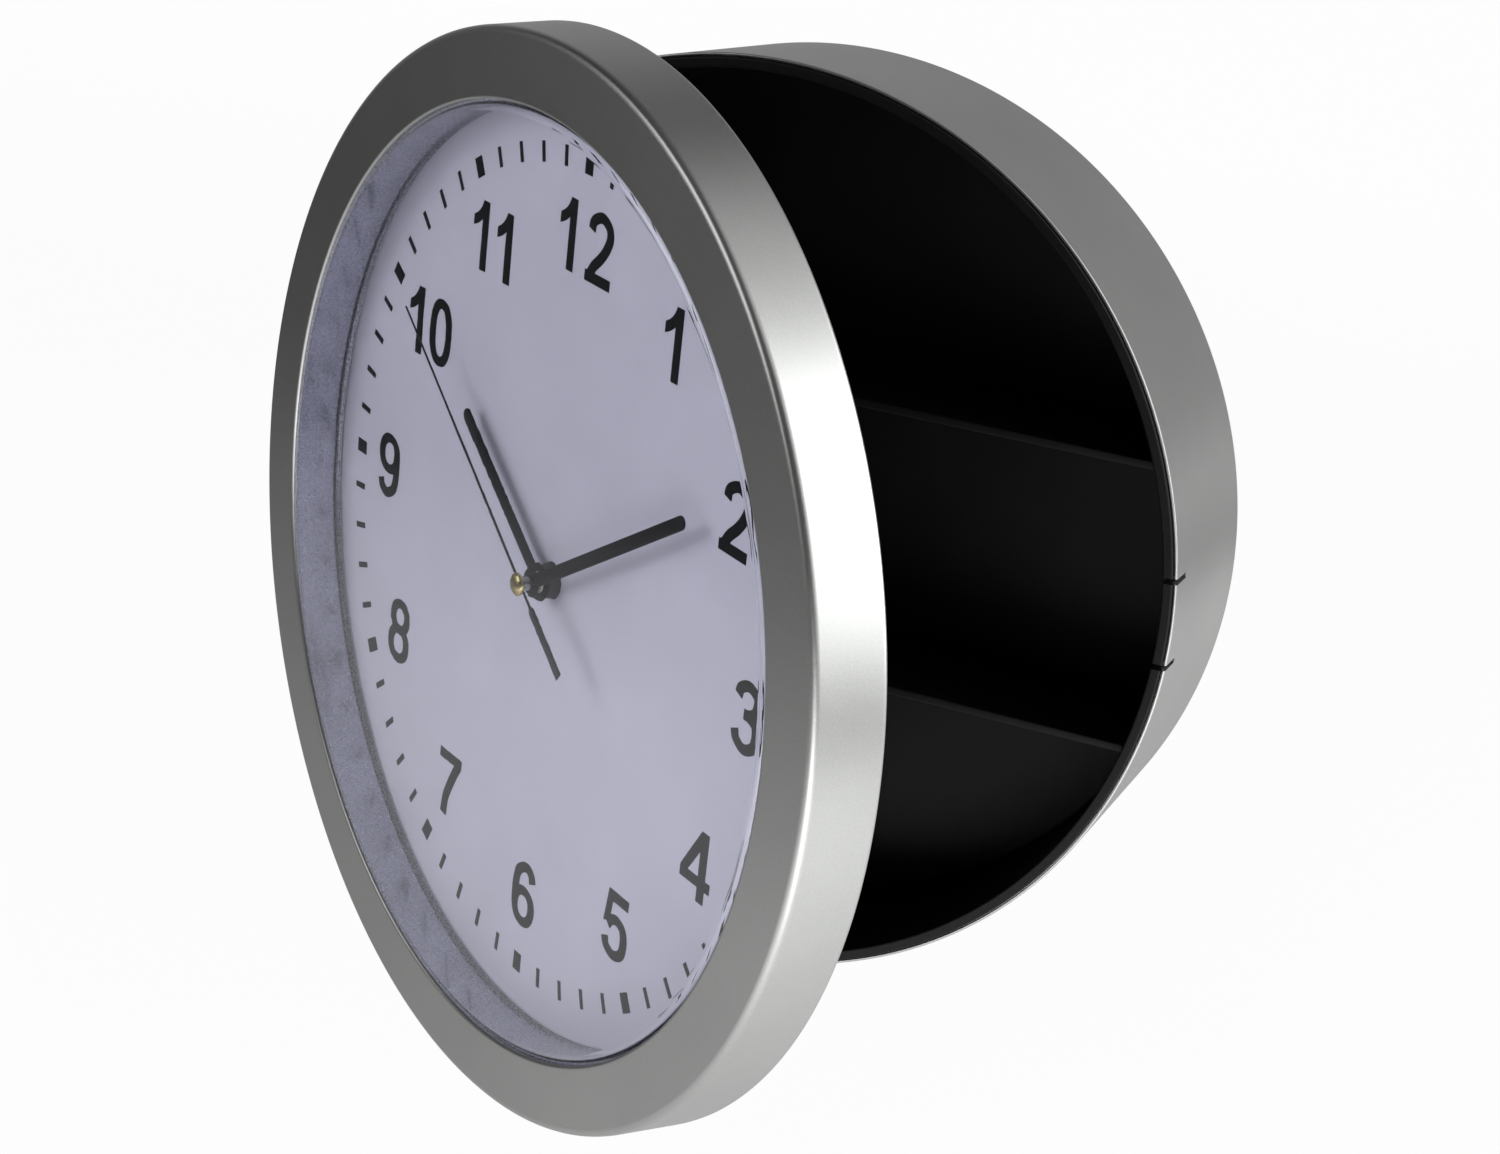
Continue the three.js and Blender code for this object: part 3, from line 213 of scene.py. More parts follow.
def srgb(r, g, b):
    # screen values 0 to 255 as linear light
    v = np.array([r, g, b]) / 255
    return (*np.where(v <= 0.04045, v / 12.92, ((v + 0.055) / 1.055) ** 2.4).tolist(), 1.0)


class Wire:
    # an output that takes part in sums and products
    def __init__(self, paint, socket):
        self.paint = paint
        self.socket = socket

    def __add__(self, other):
        return self.paint.node("ShaderNodeMath", {"operation": "ADD"}, {0: self, 1: other})

    def __mul__(self, other):
        return self.paint.node("ShaderNodeMath", {"operation": "MULTIPLY"}, {0: self, 1: other})

    __radd__ = __add__
    __rmul__ = __mul__


class Paint:
    # one material: its shader, and the nodes that vary it over the surface
    def __init__(self, name, colour, roughness, metallic=0.0, sockets=None):
        self.material = bpy.data.materials.new(name)
        self.material.use_nodes = True
        self.tree = self.material.node_tree
        self.shader = self.tree.nodes["Principled BSDF"]
        self.material.diffuse_color = colour
        self.set("Base Color", colour)
        self.set("Roughness", roughness)
        self.set("Metallic", metallic)
        for key, value in (sockets or {}).items():
            self.set(key, value)

    def set(self, key, value):
        self.shader.inputs[key].default_value = value

    def node(self, kind, settings=None, values=None, output=0):
        made = self.tree.nodes.new(kind)
        for key, value in (settings or {}).items():
            setattr(made, key, value)
        for key, value in (values or {}).items():
            self.link(value, made.inputs[key])
        return Wire(self, made.outputs[output])

    def link(self, value, socket):
        if isinstance(value, Wire):
            self.tree.links.new(value.socket, socket)
        else:
            socket.default_value = value

    def feed(self, key, value):
        self.link(value, self.shader.inputs[key])

    def place(self, stretch=(1, 1, 1)):
        where = self.node("ShaderNodeTexCoord", output="Object")
        return self.node("ShaderNodeMapping", {}, {"Vector": where, "Scale": stretch})

    def noise(self, size, detail=2.0, stretch=(1, 1, 1)):
        # grains of about the given size in millimetres, around 0.5
        values = {"Vector": self.place(stretch), "Scale": 1000 / size, "Detail": detail}
        return self.node("ShaderNodeTexNoise", {}, values, output="Fac")

    def spread(self, value, low, high, start=0.3, end=0.7):
        # the value's range from start to end taken to low to high
        values = {"Value": value, "From Min": start, "From Max": end, "To Min": low, "To Max": high}
        return self.node("ShaderNodeMapRange", {}, values)

    def mixColour(self, amount, first, second):
        made = self.tree.nodes.new("ShaderNodeMix")
        made.data_type = "RGBA"
        self.link(amount, made.inputs[0])
        self.link(first, made.inputs[6])
        self.link(second, made.inputs[7])
        return Wire(self, made.outputs[2])

    def mottle(self, amount, look, first, second):
        # the base colour goes from one colour of the look to another as the amount grows
        self.feed("Base Color", self.mixColour(amount, srgb(*look[first]), srgb(*look[second])))

    def bump(self, height, distance, strength):
        values = {"Height": height, "Distance": distance / 1000, "Strength": strength}
        self.feed("Normal", self.node("ShaderNodeBump", {}, values))


silverLook = {"colour": (182, 183, 181), "dark": (161, 162, 161), "roughness": 0.33, "metallic": 0.97}
silver = Paint("silverPaint", srgb(*silverLook["colour"]), silverLook["roughness"], silverLook["metallic"])
flakes = silver.noise(0.22, 2.0)
cloud = silver.noise(34, 2.0)
shade = silver.spread(flakes, 0.0, 0.75) + silver.spread(cloud, 0.0, 0.25)
silver.mottle(shade, silverLook, "dark", "colour")
silver.feed("Roughness", silver.spread(flakes, 0.31, 0.42))
silver.bump(silver.noise(0.35, 1.0), 0.006, 0.6)

insideLook = {"colour": (206, 207, 211), "shade": (192, 193, 197), "roughness": 0.25, "metallic": 0.85}
inside = Paint("ringInside", srgb(*insideLook["colour"]), insideLook["roughness"], insideLook["metallic"])
mist = inside.noise(14, 3.0)
inside.mottle(inside.spread(mist, 0, 1), insideLook, "shade", "colour")
inside.feed("Roughness", inside.spread(inside.noise(0.6, 2.0), 0.24, 0.3))
inside.bump(inside.noise(0.8, 2.0), 0.002, 0.3)

blackLook = {"colour": (9, 9, 10), "worn": (15, 15, 16), "roughness": 0.5}
black = Paint("blackPlastic", srgb(*blackLook["colour"]), blackLook["roughness"], 0.0,
              {"Specular IOR Level": 0.25})
grain = black.noise(0.45, 3.0)
black.mottle(black.spread(black.noise(18, 3.0), 0, 1), blackLook, "colour", "worn")
black.feed("Roughness", black.spread(grain, 0.42, 0.58))
black.bump(grain, 0.02, 0.5)

dialLook = {"colour": (220, 220, 231), "shade": (214, 214, 225), "roughness": 0.62}
card = Paint("dialCard", srgb(*dialLook["colour"]), dialLook["roughness"], 0.0,
             {"Specular IOR Level": 0.35})
fibre = card.noise(0.5, 3.0)
card.mottle(card.spread(card.noise(26, 2.0), 0, 1), dialLook, "shade", "colour")
card.feed("Roughness", card.spread(fibre, 0.56, 0.68))
card.bump(fibre, 0.004, 0.4)

inkLook = {"colour": (4, 5, 8), "thin": (8, 9, 12), "roughness": 0.6}
ink = Paint("dialInk", srgb(*inkLook["colour"]), inkLook["roughness"], 0.0,
            {"Specular IOR Level": 0.1})
coverage = ink.noise(0.6, 3.0)
ink.mottle(ink.spread(coverage, 0, 1), inkLook, "colour", "thin")
ink.feed("Roughness", ink.spread(coverage, 0.55, 0.68))
ink.bump(coverage, 0.003, 0.3)

lacquerLook = {"colour": (18, 19, 20), "roughness": 0.4}
lacquer = Paint("handLacquer", srgb(*lacquerLook["colour"]), lacquerLook["roughness"], 0.0,
                {"Specular IOR Level": 0.3})
peel = lacquer.noise(0.9, 2.0)
lacquer.feed("Roughness", lacquer.spread(peel, 0.34, 0.48))
lacquer.bump(peel, 0.006, 0.4)

brassLook = {"colour": (214, 200, 142), "tarnish": (178, 162, 106), "roughness": 0.24}
brass = Paint("brass", srgb(*brassLook["colour"]), brassLook["roughness"], 1.0)
turning = brass.noise(0.3, 2.0)
brass.mottle(brass.spread(brass.noise(2.5, 3.0), 0, 1), brassLook, "tarnish", "colour")
brass.feed("Roughness", brass.spread(turning, 0.2, 0.34))
brass.bump(turning, 0.004, 0.4)

steelLook = {"colour": (178, 180, 182), "dull": (140, 142, 145), "roughness": 0.3}
steel = Paint("steel", srgb(*steelLook["colour"]), steelLook["roughness"], 1.0)
plating = steel.noise(0.5, 3.0)
steel.mottle(steel.spread(steel.noise(1.8, 3.0), 0, 1), steelLook, "dull", "colour")
steel.feed("Roughness", steel.spread(plating, 0.24, 0.4))
steel.bump(plating, 0.004, 0.4)

movementLook = {"colour": (30, 30, 33), "worn": (42, 42, 45), "roughness": 0.48}
movement = Paint("movementPlastic", srgb(*movementLook["colour"]), movementLook["roughness"])
spark = movement.noise(0.35, 3.0)
movement.mottle(movement.spread(movement.noise(9, 3.0), 0, 1), movementLook, "colour", "worn")
movement.feed("Roughness", movement.spread(spark, 0.4, 0.56))
movement.bump(spark, 0.015, 0.5)

gearLook = {"colour": (232, 230, 220), "shade": (216, 213, 200), "roughness": 0.45}
gearPlastic = Paint("gearPlastic", srgb(*gearLook["colour"]), gearLook["roughness"], 0.0,
                    {"Subsurface Weight": 0.1, "Subsurface Radius": (0.001, 0.001, 0.0008)})
moulding = gearPlastic.noise(1.2, 2.0)
gearPlastic.mottle(gearPlastic.spread(moulding, 0, 1), gearLook, "shade", "colour")
gearPlastic.feed("Roughness", gearPlastic.spread(moulding, 0.38, 0.52))
gearPlastic.bump(moulding, 0.006, 0.4)

copperLook = {"colour": (176, 92, 48), "dark": (128, 62, 32), "roughness": 0.3}
copper = Paint("copperWire", srgb(*copperLook["colour"]), copperLook["roughness"], 0.9)
strand = copper.noise(0.12, 1.0)
copper.mottle(copper.spread(strand, 0, 1), copperLook, "dark", "colour")
copper.bump(strand, 0.03, 0.7)

boardLook = {"colour": (32, 92, 56), "track": (44, 112, 70), "roughness": 0.4}
board = Paint("boardGreen", srgb(*boardLook["colour"]), boardLook["roughness"])
board.mottle(board.spread(board.noise(2.2, 1.0), 0, 1, 0.48, 0.52), boardLook, "colour", "track")
board.bump(board.noise(0.4, 2.0), 0.01, 0.4)

magnetLook = {"colour": (70, 71, 74), "light": (96, 97, 100), "roughness": 0.5}
magnet = Paint("magnetGrey", srgb(*magnetLook["colour"]), magnetLook["roughness"], 0.6)
sinter = magnet.noise(0.3, 3.0)
magnet.mottle(magnet.spread(sinter, 0, 1), magnetLook, "colour", "light")
magnet.bump(sinter, 0.02, 0.5)

wrapLook = {"colour": (34, 58, 132), "roughness": 0.3}
wrap = Paint("batterySleeve", srgb(*wrapLook["colour"]), wrapLook["roughness"], 0.3)
wrinkle = wrap.noise(3.0, 2.0)
wrap.feed("Roughness", wrap.spread(wrinkle, 0.24, 0.36))
wrap.bump(wrinkle, 0.005, 0.3)

# Clear plastic of the lens. Lamps shine through it, so that they light the dial.
clearLook = {"colour": (240, 240, 248), "roughness": 0.02, "ior": 1.49}
clear = Paint("clearPlastic", srgb(*clearLook["colour"]), clearLook["roughness"], 0.0,
              {"IOR": clearLook["ior"], "Transmission Weight": 1.0})
clearMixer = clear.tree.nodes.new("ShaderNodeMixShader")
through = clear.tree.nodes.new("ShaderNodeBsdfTransparent")
lampRay = clear.node("ShaderNodeLightPath", output="Is Shadow Ray")
clear.link(lampRay, clearMixer.inputs[0])
clear.tree.links.new(clear.shader.outputs[0], clearMixer.inputs[1])
clear.tree.links.new(through.outputs[0], clearMixer.inputs[2])
clear.tree.links.new(clearMixer.outputs[0], clear.tree.nodes["Material Output"].inputs["Surface"])
print("materials made")


def dress(piece, paint, body, slot, *nodes):
    piece.data.materials.clear()
    piece.data.materials.append(paint.material)
    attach(piece, body)
    if nodes:
        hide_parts(*nodes)
    return piece


def paintBand(piece, paint, radii, heights):
    # a second paint on the faces of a door piece between two radii and two heights
    corners = np.empty(len(piece.data.vertices) * 3)
    piece.data.vertices.foreach_get("co", corners)
    middle = fromDoor(np.array([0.0, 0.0, 0.0]))
    along = fromDoor(np.array([0.0, 1.0, 0.0])) - middle
    along = along / np.linalg.norm(along)
    offset = (corners.reshape(-1, 3) - middle) * 1000
    height = offset @ along
    radius = np.linalg.norm(offset - np.outer(height, along), axis=1)
    within = (radius > radii[0]) & (radius < radii[1]) & (height > heights[0]) & (height < heights[1])
    piece.data.materials.append(paint.material)
    for face in piece.data.polygons:
        if all(within[i] for i in face.vertices):
            face.material_index = len(piece.data.materials) - 1


# Silver ring of the door
bezelShape = {
    "radius": 127.0, "draft": 0.7, "depth": 17.85, "rise": 0.85, "inner": 109.9,
    "wall": 1.8, "faceWall": 1.5, "innerWall": 1.7, "innerEnd": -6.6,
    "rearRound": 1.1, "frontRound": 1.7, "innerRound": 0.9,
    "tabHeight": 0.35, "tabRoot": 0.3, "tabLength": 3.0, "tabHalf": 5.3, "tabEdge": 0.12, "tabSetBack": 0.1,
}
b = bezelShape
bezelRing = turned("bezel", [
    (b["radius"] - b["wall"], 0, 0.3),
    (b["radius"], 0, b["rearRound"]),
    (b["radius"] - b["draft"], -b["depth"], b["frontRound"]),
    (b["inner"], -b["depth"] - b["rise"], b["innerRound"]),
    (b["inner"], b["innerEnd"], 0.3),
    (b["inner"] + b["innerWall"], b["innerEnd"], 0.3),
    (b["inner"] + b["innerWall"], -b["depth"] - b["rise"] + b["faceWall"], 0.4),
    (b["radius"] - b["wall"], -b["depth"] + b["faceWall"], 0.8),
], fromDoor)
# a moulded tab on the inside at nine o'clock, beside the lens's wall
tab = box("tab", (-b["inner"] - b["tabRoot"], -b["inner"] + b["tabHeight"]),
          (b["innerEnd"] - b["tabLength"], b["innerEnd"] - b["tabSetBack"]),
          (-b["tabHalf"], b["tabHalf"]), onDial(0.0), edge=b["tabEdge"])
bezelRing = joined("bezel", [bezelRing, tab])
dress(bezelRing, silver, "door", "silver_paint", "bezel")
bandMargin = 1.0  # a band's limits reach this far past the faces that it takes in
paintBand(bezelRing, inside, (0, b["inner"] + 0.02), (-b["depth"] - b["rise"] - bandMargin, 0))

# Clear cup over the dial
lensShape = {
    "radius": 109.6, "front": -18.4, "thickness": 0.6, "wall": 0.7, "taper": 0.9,
    "shoulder": 2.2, "flangeRadius": 110.7, "flangeFront": -6.3, "flangeBack": -5.1,
}
g = lensShape
glass = turned("lens", [
    (0, g["front"], 0),
    (g["radius"], g["front"], g["shoulder"]),
    (g["radius"] - g["taper"] + g["wall"], g["flangeFront"], 0.2),
    (g["flangeRadius"], g["flangeFront"], 0.2),
    (g["flangeRadius"], g["flangeBack"], 0.2),
    (g["radius"] - g["taper"], g["flangeBack"], 0.2),
    (g["radius"] - g["wall"], g["front"] + g["thickness"], g["shoulder"] / 2),
    (0, g["front"] + g["thickness"], 0),
], fromDoor)
dress(glass, clear, "door", "clear_plastic", "lens")
# the flange is satin like the ring's inside
paintBand(glass, inside, (g["radius"] - g["taper"] - 0.1, g["flangeRadius"] + bandMargin),
          (g["flangeFront"] - 0.1, 0))

# Dial card and its print
dialShape = {
    "radius": 110.4, "front": -4.8, "thickness": 0.6, "hole": 4.3, "inkThickness": 0.04, "inkLayer": 0.004,
    "tickRadius": 98.0, "tickLength": 4.8, "minuteWidth": 1.5, "hourWidth": 3.5,
    "capHeight": 16.7, "figureWidth": 11.1, "upright": 3.05, "level": 2.5,
}
d = dialShape
disc = turned("dial", [
    (d["hole"], d["front"], 0.05),
    (d["radius"], d["front"], 0.05),
    (d["radius"], d["front"] + d["thickness"], 0.05),
    (d["hole"], d["front"] + d["thickness"], 0.05),
], fromDoor, segments=256, steps=3)
dress(disc, card, "door", "dial_card", "dial")

inkPoints, inkFaces = [], []


def addStroke(left, right, layer=0):
    # a printed band between two lines (x, z), as thick as the ink; a later layer stands a little higher
    front = d["front"] - d["inkThickness"] - d["inkLayer"] * layer
    back = d["front"]
    corners = [(left, front), (right, front), (right, back), (left, back)]
    grid = np.stack([np.stack([line[:, 0], np.full(len(line), y), line[:, 1]], -1) for line, y in corners], 1)
    start = sum(len(p) for p in inkPoints)
    inkPoints.append(grid.reshape(-1, 3))
    inkFaces.extend(gridFaces(len(left), 4, False, True, start))
    last = start + (len(left) - 1) * 4
    inkFaces.extend([[start, start + 1, start + 2, start + 3], [last, last + 1, last + 2, last + 3]])


def addMark(angleDegrees, width):
    # a minute mark: a rectangle turned about the dial's middle
    a = radians(angleDegrees)
    out, side = np.array([sin(a), cos(a)]), np.array([cos(a), -sin(a)])
    reach = np.array([d["tickRadius"] - d["tickLength"] / 2, d["tickRadius"] + d["tickLength"] / 2])
    middle = reach[:, None] * out
    addStroke(middle - side * width / 2, middle + side * width / 2)


def arc(cx, cz, rx, rz, start, end, square=2.2, count=28):
    # part of a superellipse, angles in degrees anticlockwise from three o'clock
    a = np.radians(np.linspace(start, end, count))
    power = 2 / square
    x = np.sign(np.cos(a)) * np.abs(np.cos(a)) ** power
    z = np.sign(np.sin(a)) * np.abs(np.sin(a)) ** power
    return np.stack([cx + rx * x, cz + rz * z], 1)


def curve(*points, steps=10):
    # a line that runs smoothly through the points (Catmull and Rom's cubic)
    p = np.array(points, float)
    p = np.vstack([2 * p[0] - p[1], p, 2 * p[-1] - p[-2]])
    t = np.linspace(0, 1, steps, endpoint=False)[:, None, None]
    a, b, c, e = p[:-3], p[1:-2], p[2:-1], p[3:]
    squared, cubed = 2 * a - 5 * b + 4 * c - e, 3 * b - a - 3 * c + e
    spans = 0.5 * (2 * b + (c - a) * t + squared * t ** 2 + cubed * t ** 3)
    return np.vstack([spans.transpose(1, 0, 2).reshape(-1, 2), p[-2:-1]])


def pen(path, closed=False):
    # the two sides of a stroke along the path; half its width is sqrt((u nx)^2 + (v nz)^2) for the normal n
    if closed:
        along = np.roll(path, -1, 0) - np.roll(path, 1, 0)
    else:
        along = np.gradient(path, axis=0)
    along /= np.linalg.norm(along, axis=1, keepdims=True)
    normal = np.stack([-along[:, 1], along[:, 0]], 1)
    half = np.linalg.norm(normal * [d["upright"] / 2, d["level"] / 2], axis=1, keepdims=True)
    sides = path + normal * half, path - normal * half
    return [np.vstack([side, side[:1]]) for side in sides] if closed else sides


def ring(cx, cz, rx, rz, square):
    return pen(arc(cx, cz, rx, rz, 0, 360, square, 72)[:-1], closed=True)


def bar(x0, x1, z0, z1):
    return np.array([(x0, z0), (x1, z0)], float), np.array([(x0, z1), (x1, z1)], float)


def strokes(digit):
    # the strokes of one numeral whose box is centred at the origin
    h, w = d["capHeight"] / 2, d["figureWidth"] / 2
    u, v = d["upright"] / 2, d["level"] / 2
    top, foot, left, right = h - v, -h + v, -w + u, w - u
    if digit == 0:
        return [ring(0, 0, right, top, 2.35)]
    if digit == 1:
        upper = curve((-u + 0.1, h), (-u - 0.8, h - 1.8), (-u - 2.3, h - 3.3), (-u - 4.1, h - 4.3))
        lower = curve((-u + 0.1, h - 4.5), (-u - 0.8, h - 5.3), (-u - 2.3, h - 6.2), (-u - 4.1, h - 6.9))
        return [bar(-u, u, -h, h), (upper, lower)]
    if digit == 2:
        sweep = curve((left + 0.1, h - 4.9), (left + 0.8, h - 2.7), (0.1, top), (right - 0.8, h - 2.6),
                      (right + 0.1, h - 4.9), (right - 1.0, h - 7.6), (0.9, h - 10.2), (-1.9, h - 12.7),
                      (-3.6, h - 15.2))
        return [pen(sweep), bar(-w, w, -h, -h + 2 * v + 0.1)]
    if digit == 3:
        upper = curve((left + 0.1, h - 4.4), (left + 0.9, h - 2.5), (-0.2, top), (right - 1.1, h - 2.4),
                      (right - 0.45, h - 4.3), (right - 1.3, h - 6.5), (0.2, h - 7.7), (-1.3, h - 7.75))
        lower = curve((-1.3, h - 7.75), (0.4, h - 7.8), (right - 0.8, h - 8.9), (right, h - 11.5),
                      (right - 0.9, -h + 2.6), (-0.1, foot), (left + 0.8, -h + 2.6), (left - 0.1, -h + 4.6))
        return [pen(upper), pen(lower)]
    if digit == 4:
        stem = 2.65
        edge = w + 0.6
        slope = (np.array([(stem + u, h), (stem - u, h), (-edge, -h + 5.9)], float),
                 np.array([(stem + u, h - 4.0), (stem - u + 0.1, h - 4.8), (-edge + 2.75, -h + 5.4)], float))
        return [bar(stem - u, stem + u, -h, h), bar(-edge, edge, -h + 3.3, -h + 3.4 + 2 * v), slope]
    if digit == 5:
        bowl = curve((left + 0.7, -0.5), (left + 2.1, 1.05), (0.5, 1.65), (right - 0.8, 0.35), (right, -2.7),
                     (right - 0.9, -h + 2.6), (-0.1, foot), (left + 0.8, -h + 2.5), (left - 0.1, -h + 4.5))
        side = (np.array([(-w + 1.6, h), (-w + 0.2, -0.5)], float),
                np.array([(-w + 4.2, h), (-w + 2.9, 0.6)], float))
        return [bar(-w + 1.8, w - 0.7, h - 2 * v - 0.2, h), side, pen(bowl)]
    if digit in (6, 9):
        turn = 1 if digit == 6 else -1
        back = curve((right - 0.3, h - 4.3), (right - 1.1, h - 2.4), (0.4, top), (left + 1.1, h - 3.1),
                     (left + 0.15, h - 6.2), (left, -1.3), (left + 0.15, foot + 3.4))
        return [ring(0.1 * turn, (foot + 3.95) * turn, right - 0.1, 3.95, 2.15), pen(back * turn)]
    if digit == 7:
        leg = curve((right + 0.1, h - 2.0), (right - 1.6, h - 4.4), (0.5, h - 8.0), (-1.2, h - 12.0), (-1.9, -h))
        return [bar(-w, w, h - 2 * v - 0.15, h), pen(leg)]
    return [ring(0, top - 3.4, right - 0.45, 3.4, 2.15), ring(0, foot + 3.8, right, 3.8, 2.15)]


# for each hour its figures, and where their middles stand (x, z)
hourPlaces = {
    1: [(1, 42.85, 69.3)],
    2: [(2, 72.0, 40.3)],
    3: [(3, 84.2, 0.0)],
    4: [(4, 71.4, -39.7)],
    5: [(5, 41.7, -69.1)],
    6: [(6, 0.2, -80.0)],
    7: [(7, -39.9, -68.7)],
    8: [(8, -71.3, -40.1)],
    9: [(9, -83.0, -0.2)],
    10: [(1, -72.5, 40.7), (0, -61.8, 40.7)],
    11: [(1, -44.2, 69.5), (1, -32.7, 69.5)],
    12: [(1, -4.8, 80.7), (2, 7.55, 80.7)],
}
for minute in range(60):
    addMark(minute * 6, d["hourWidth"] if minute % 5 == 0 else d["minuteWidth"])
for group in hourPlaces.values():
    for digit, x, z in group:
        for layer, (first, second) in enumerate(strokes(digit)):
            addStroke(first + np.array([x, z]), second + np.array([x, z]), layer)
printed = meshPiece("dial_print", onDial(build["dialTurn"])(np.vstack(inkPoints)), inkFaces)
dress(printed, ink, "door", "dial_card")
print("door made")

# Hands. The clock shows nine minutes and fifty-one seconds past ten.
shown = {"hour": 10, "minute": 9, "second": 51}
secondAngle = shown["second"] * 6
minuteAngle = (shown["minute"] + shown["second"] / 60) * 6
hourAngle = shown["hour"] * 30 + minuteAngle / 12
handShape = {
    "thickness": 0.4, "hourLength": 49.6, "hourWidth": 3.6, "hourHub": 4.5, "hourBack": -8.1,
    "minuteLength": 71.0, "minuteWidth": 3.3, "minuteHub": 3.4, "minuteBack": -10.0,
    "secondLength": 80.0, "secondWidth": 0.8, "secondThickness": 0.3, "secondHub": 1.9, "secondBack": -13.0,
    "needleTaper": 20.0, "needlePoint": 0.6, "tailStart": 7.5, "tailSlope": 1.2, "tailEnd": 25.5,
    "tailWidth": 2.5, "secondBore": 0.7, "secondTube": 1.7, "tubeEnd": -11.1,
    "hourBore": 2.7, "minuteBore": 1.75, "collarWall": 0.6, "collarFront": 0.1, "collarBack": 0.4,
}
k = handShape


def barHand(name, length, width, hub, bore, back, place):
    # a bar with a round end that widens into its hub
    half = width / 2
    tip = np.linspace(0, pi, 17)
    end = np.stack([half * np.cos(tip), length - half + half * np.sin(tip)], 1)
    spread = np.arcsin(half / hub)
    sweep = np.linspace(pi / 2 + spread, 5 * pi / 2 - spread, 49)
    hubLine = np.stack([hub * np.cos(sweep), hub * np.sin(sweep)], 1)
    outline = np.vstack([end, hubLine])
    bar = slab(name + "_bar", outline, back - k["thickness"], back, place, edge=0.12)
    front, end = back - k["collarFront"], back + k["collarBack"]
    outer = bore + k["collarWall"]
    profile = [(bore, front, 0.03), (outer, front, 0.03), (outer, end, 0.08), (bore, end, 0.03)]
    collar = turned(name + "_collar", profile, place, segments=48, steps=3)
    hole = slab("hole", circle(bore, 48), back - 2, back + 2, place, edge=0)
    return joined(name, [withCut(bar, [hole]), collar])


hourHand = barHand("hour_hand", k["hourLength"], k["hourWidth"], k["hourHub"], k["hourBore"], k["hourBack"],
                   onDial(hourAngle + build["dialTurn"]))
dress(hourHand, lacquer, "hour", "hand_black", "hour_hand")
minuteHand = barHand("minute_hand", k["minuteLength"], k["minuteWidth"], k["minuteHub"], k["minuteBore"],
                     k["minuteBack"], onDial(minuteAngle + build["dialTurn"]))
dress(minuteHand, lacquer, "minute", "hand_black", "minute_hand")

secondPlace = onDial(secondAngle + build["dialTurn"])
thin, wide = k["secondWidth"] / 2, k["tailWidth"] / 2
oneSide = [(thin * k["needlePoint"], k["secondLength"]), (thin, k["needleTaper"]),
           (thin, -k["tailStart"] + k["tailSlope"]), (wide, -k["tailStart"]), (wide, -k["tailEnd"])]
otherSide = [(-x, z) for x, z in oneSide]
needle = slab("needle", otherSide + oneSide[::-1], k["secondBack"] - k["secondThickness"], k["secondBack"],
              secondPlace, edge=0.08)
hub = turned("hub", [
    (k["secondBore"], k["secondBack"] - k["secondThickness"], 0.03),
    (k["secondHub"], k["secondBack"] - k["secondThickness"], 0.1),
    (k["secondHub"], k["secondBack"], 0.05),
    (k["secondBore"], k["secondBack"], 0.03),
], secondPlace, segments=64, steps=3)
dress(joined("second_hand", [needle, hub]), lacquer, "second", "hand_black", "second_hand")
tube = turned("second_tube", [
    (k["secondBore"], k["secondBack"], 0.03),
    (k["secondTube"], k["secondBack"], 0.08),
    (k["secondTube"], k["tubeEnd"], 0.2),
    (k["secondBore"], k["tubeEnd"], 0.1),
], secondPlace, segments=64, steps=4)
dress(tube, steel, "second", "steel")

# Domed cap: a quarter of an ellipse, then a short straight side
capShape = {"radius": 2.75, "front": -15.05, "rise": 1.2, "back": -13.6, "steps": 16}
c = capShape
quarter = np.linspace(0, pi / 2, c["steps"])
dome = np.stack([c["radius"] * np.sin(quarter), c["front"] + c["rise"] * (1 - np.cos(quarter))], 1)
cap = turned("hand_cap", np.vstack([dome, [(c["radius"], c["back"]), (0, c["back"])]]), fromDoor,
             segments=96, closed=False)
dress(cap, brass, "second", "brass", "hand_cap")
print("hands made")

# Case shell with its back wall, keyhole, counterbored screw holes and the two slits beside the catch
shellShape = {
    "frontRadius": 115.0, "rearRadius": 111.4, "wall": 1.6, "backWall": 2.0,
    "rearRound": 1.7, "frontRound": 0.4, "seatRadius": 114.35, "seatDepth": 1.1,
    "screwOffset": 60, "recess": 3.1, "recessDepth": 2.2,
    "slitInner": 9.9, "slitWidth": 1.4, "slitLength": 7.2,
    "keyholeZ": 74, "keyholeRadius": 4.5, "keyholeSlot": 4.4, "keyholeRise": 10,
}
s = shellShape
depth = build["caseDepth"]


def shellRadius(y):
    return s["frontRadius"] + (s["rearRadius"] - s["frontRadius"]) * y / depth


shell = turned("case_shell", [
    (0, depth, 0),
    (s["rearRadius"], depth, s["rearRound"]),
    (s["frontRadius"], 0, s["frontRound"]),
    (s["seatRadius"], 0, 0.1),
    (s["seatRadius"], s["seatDepth"], 0.1),
    (shellRadius(s["seatDepth"]) - s["wall"], s["seatDepth"], 0.1),
    (shellRadius(depth - s["backWall"]) - s["wall"], depth - s["backWall"], 0.6),
    (0, depth - s["backWall"], 0),
], fromCase)
screwPlaces = [(s["screwOffset"] * a, s["screwOffset"] * e) for a, e in ((1, 1), (1, -1), (-1, -1), (-1, 1))]
slotTop = s["keyholeZ"] + s["keyholeRise"] - s["keyholeSlot"] / 2
sweep = np.linspace(0, pi, 17)
slotEnd = np.array([0, slotTop]) + s["keyholeSlot"] / 2 * np.stack([np.cos(sweep), np.sin(sweep)], 1)
gap = np.arcsin(s["keyholeSlot"] / 2 / s["keyholeRadius"])
sweep = np.linspace(pi / 2 + gap, 5 * pi / 2 - gap, 41)
entry = np.array([0, s["keyholeZ"]]) + s["keyholeRadius"] * np.stack([np.cos(sweep), np.sin(sweep)], 1)
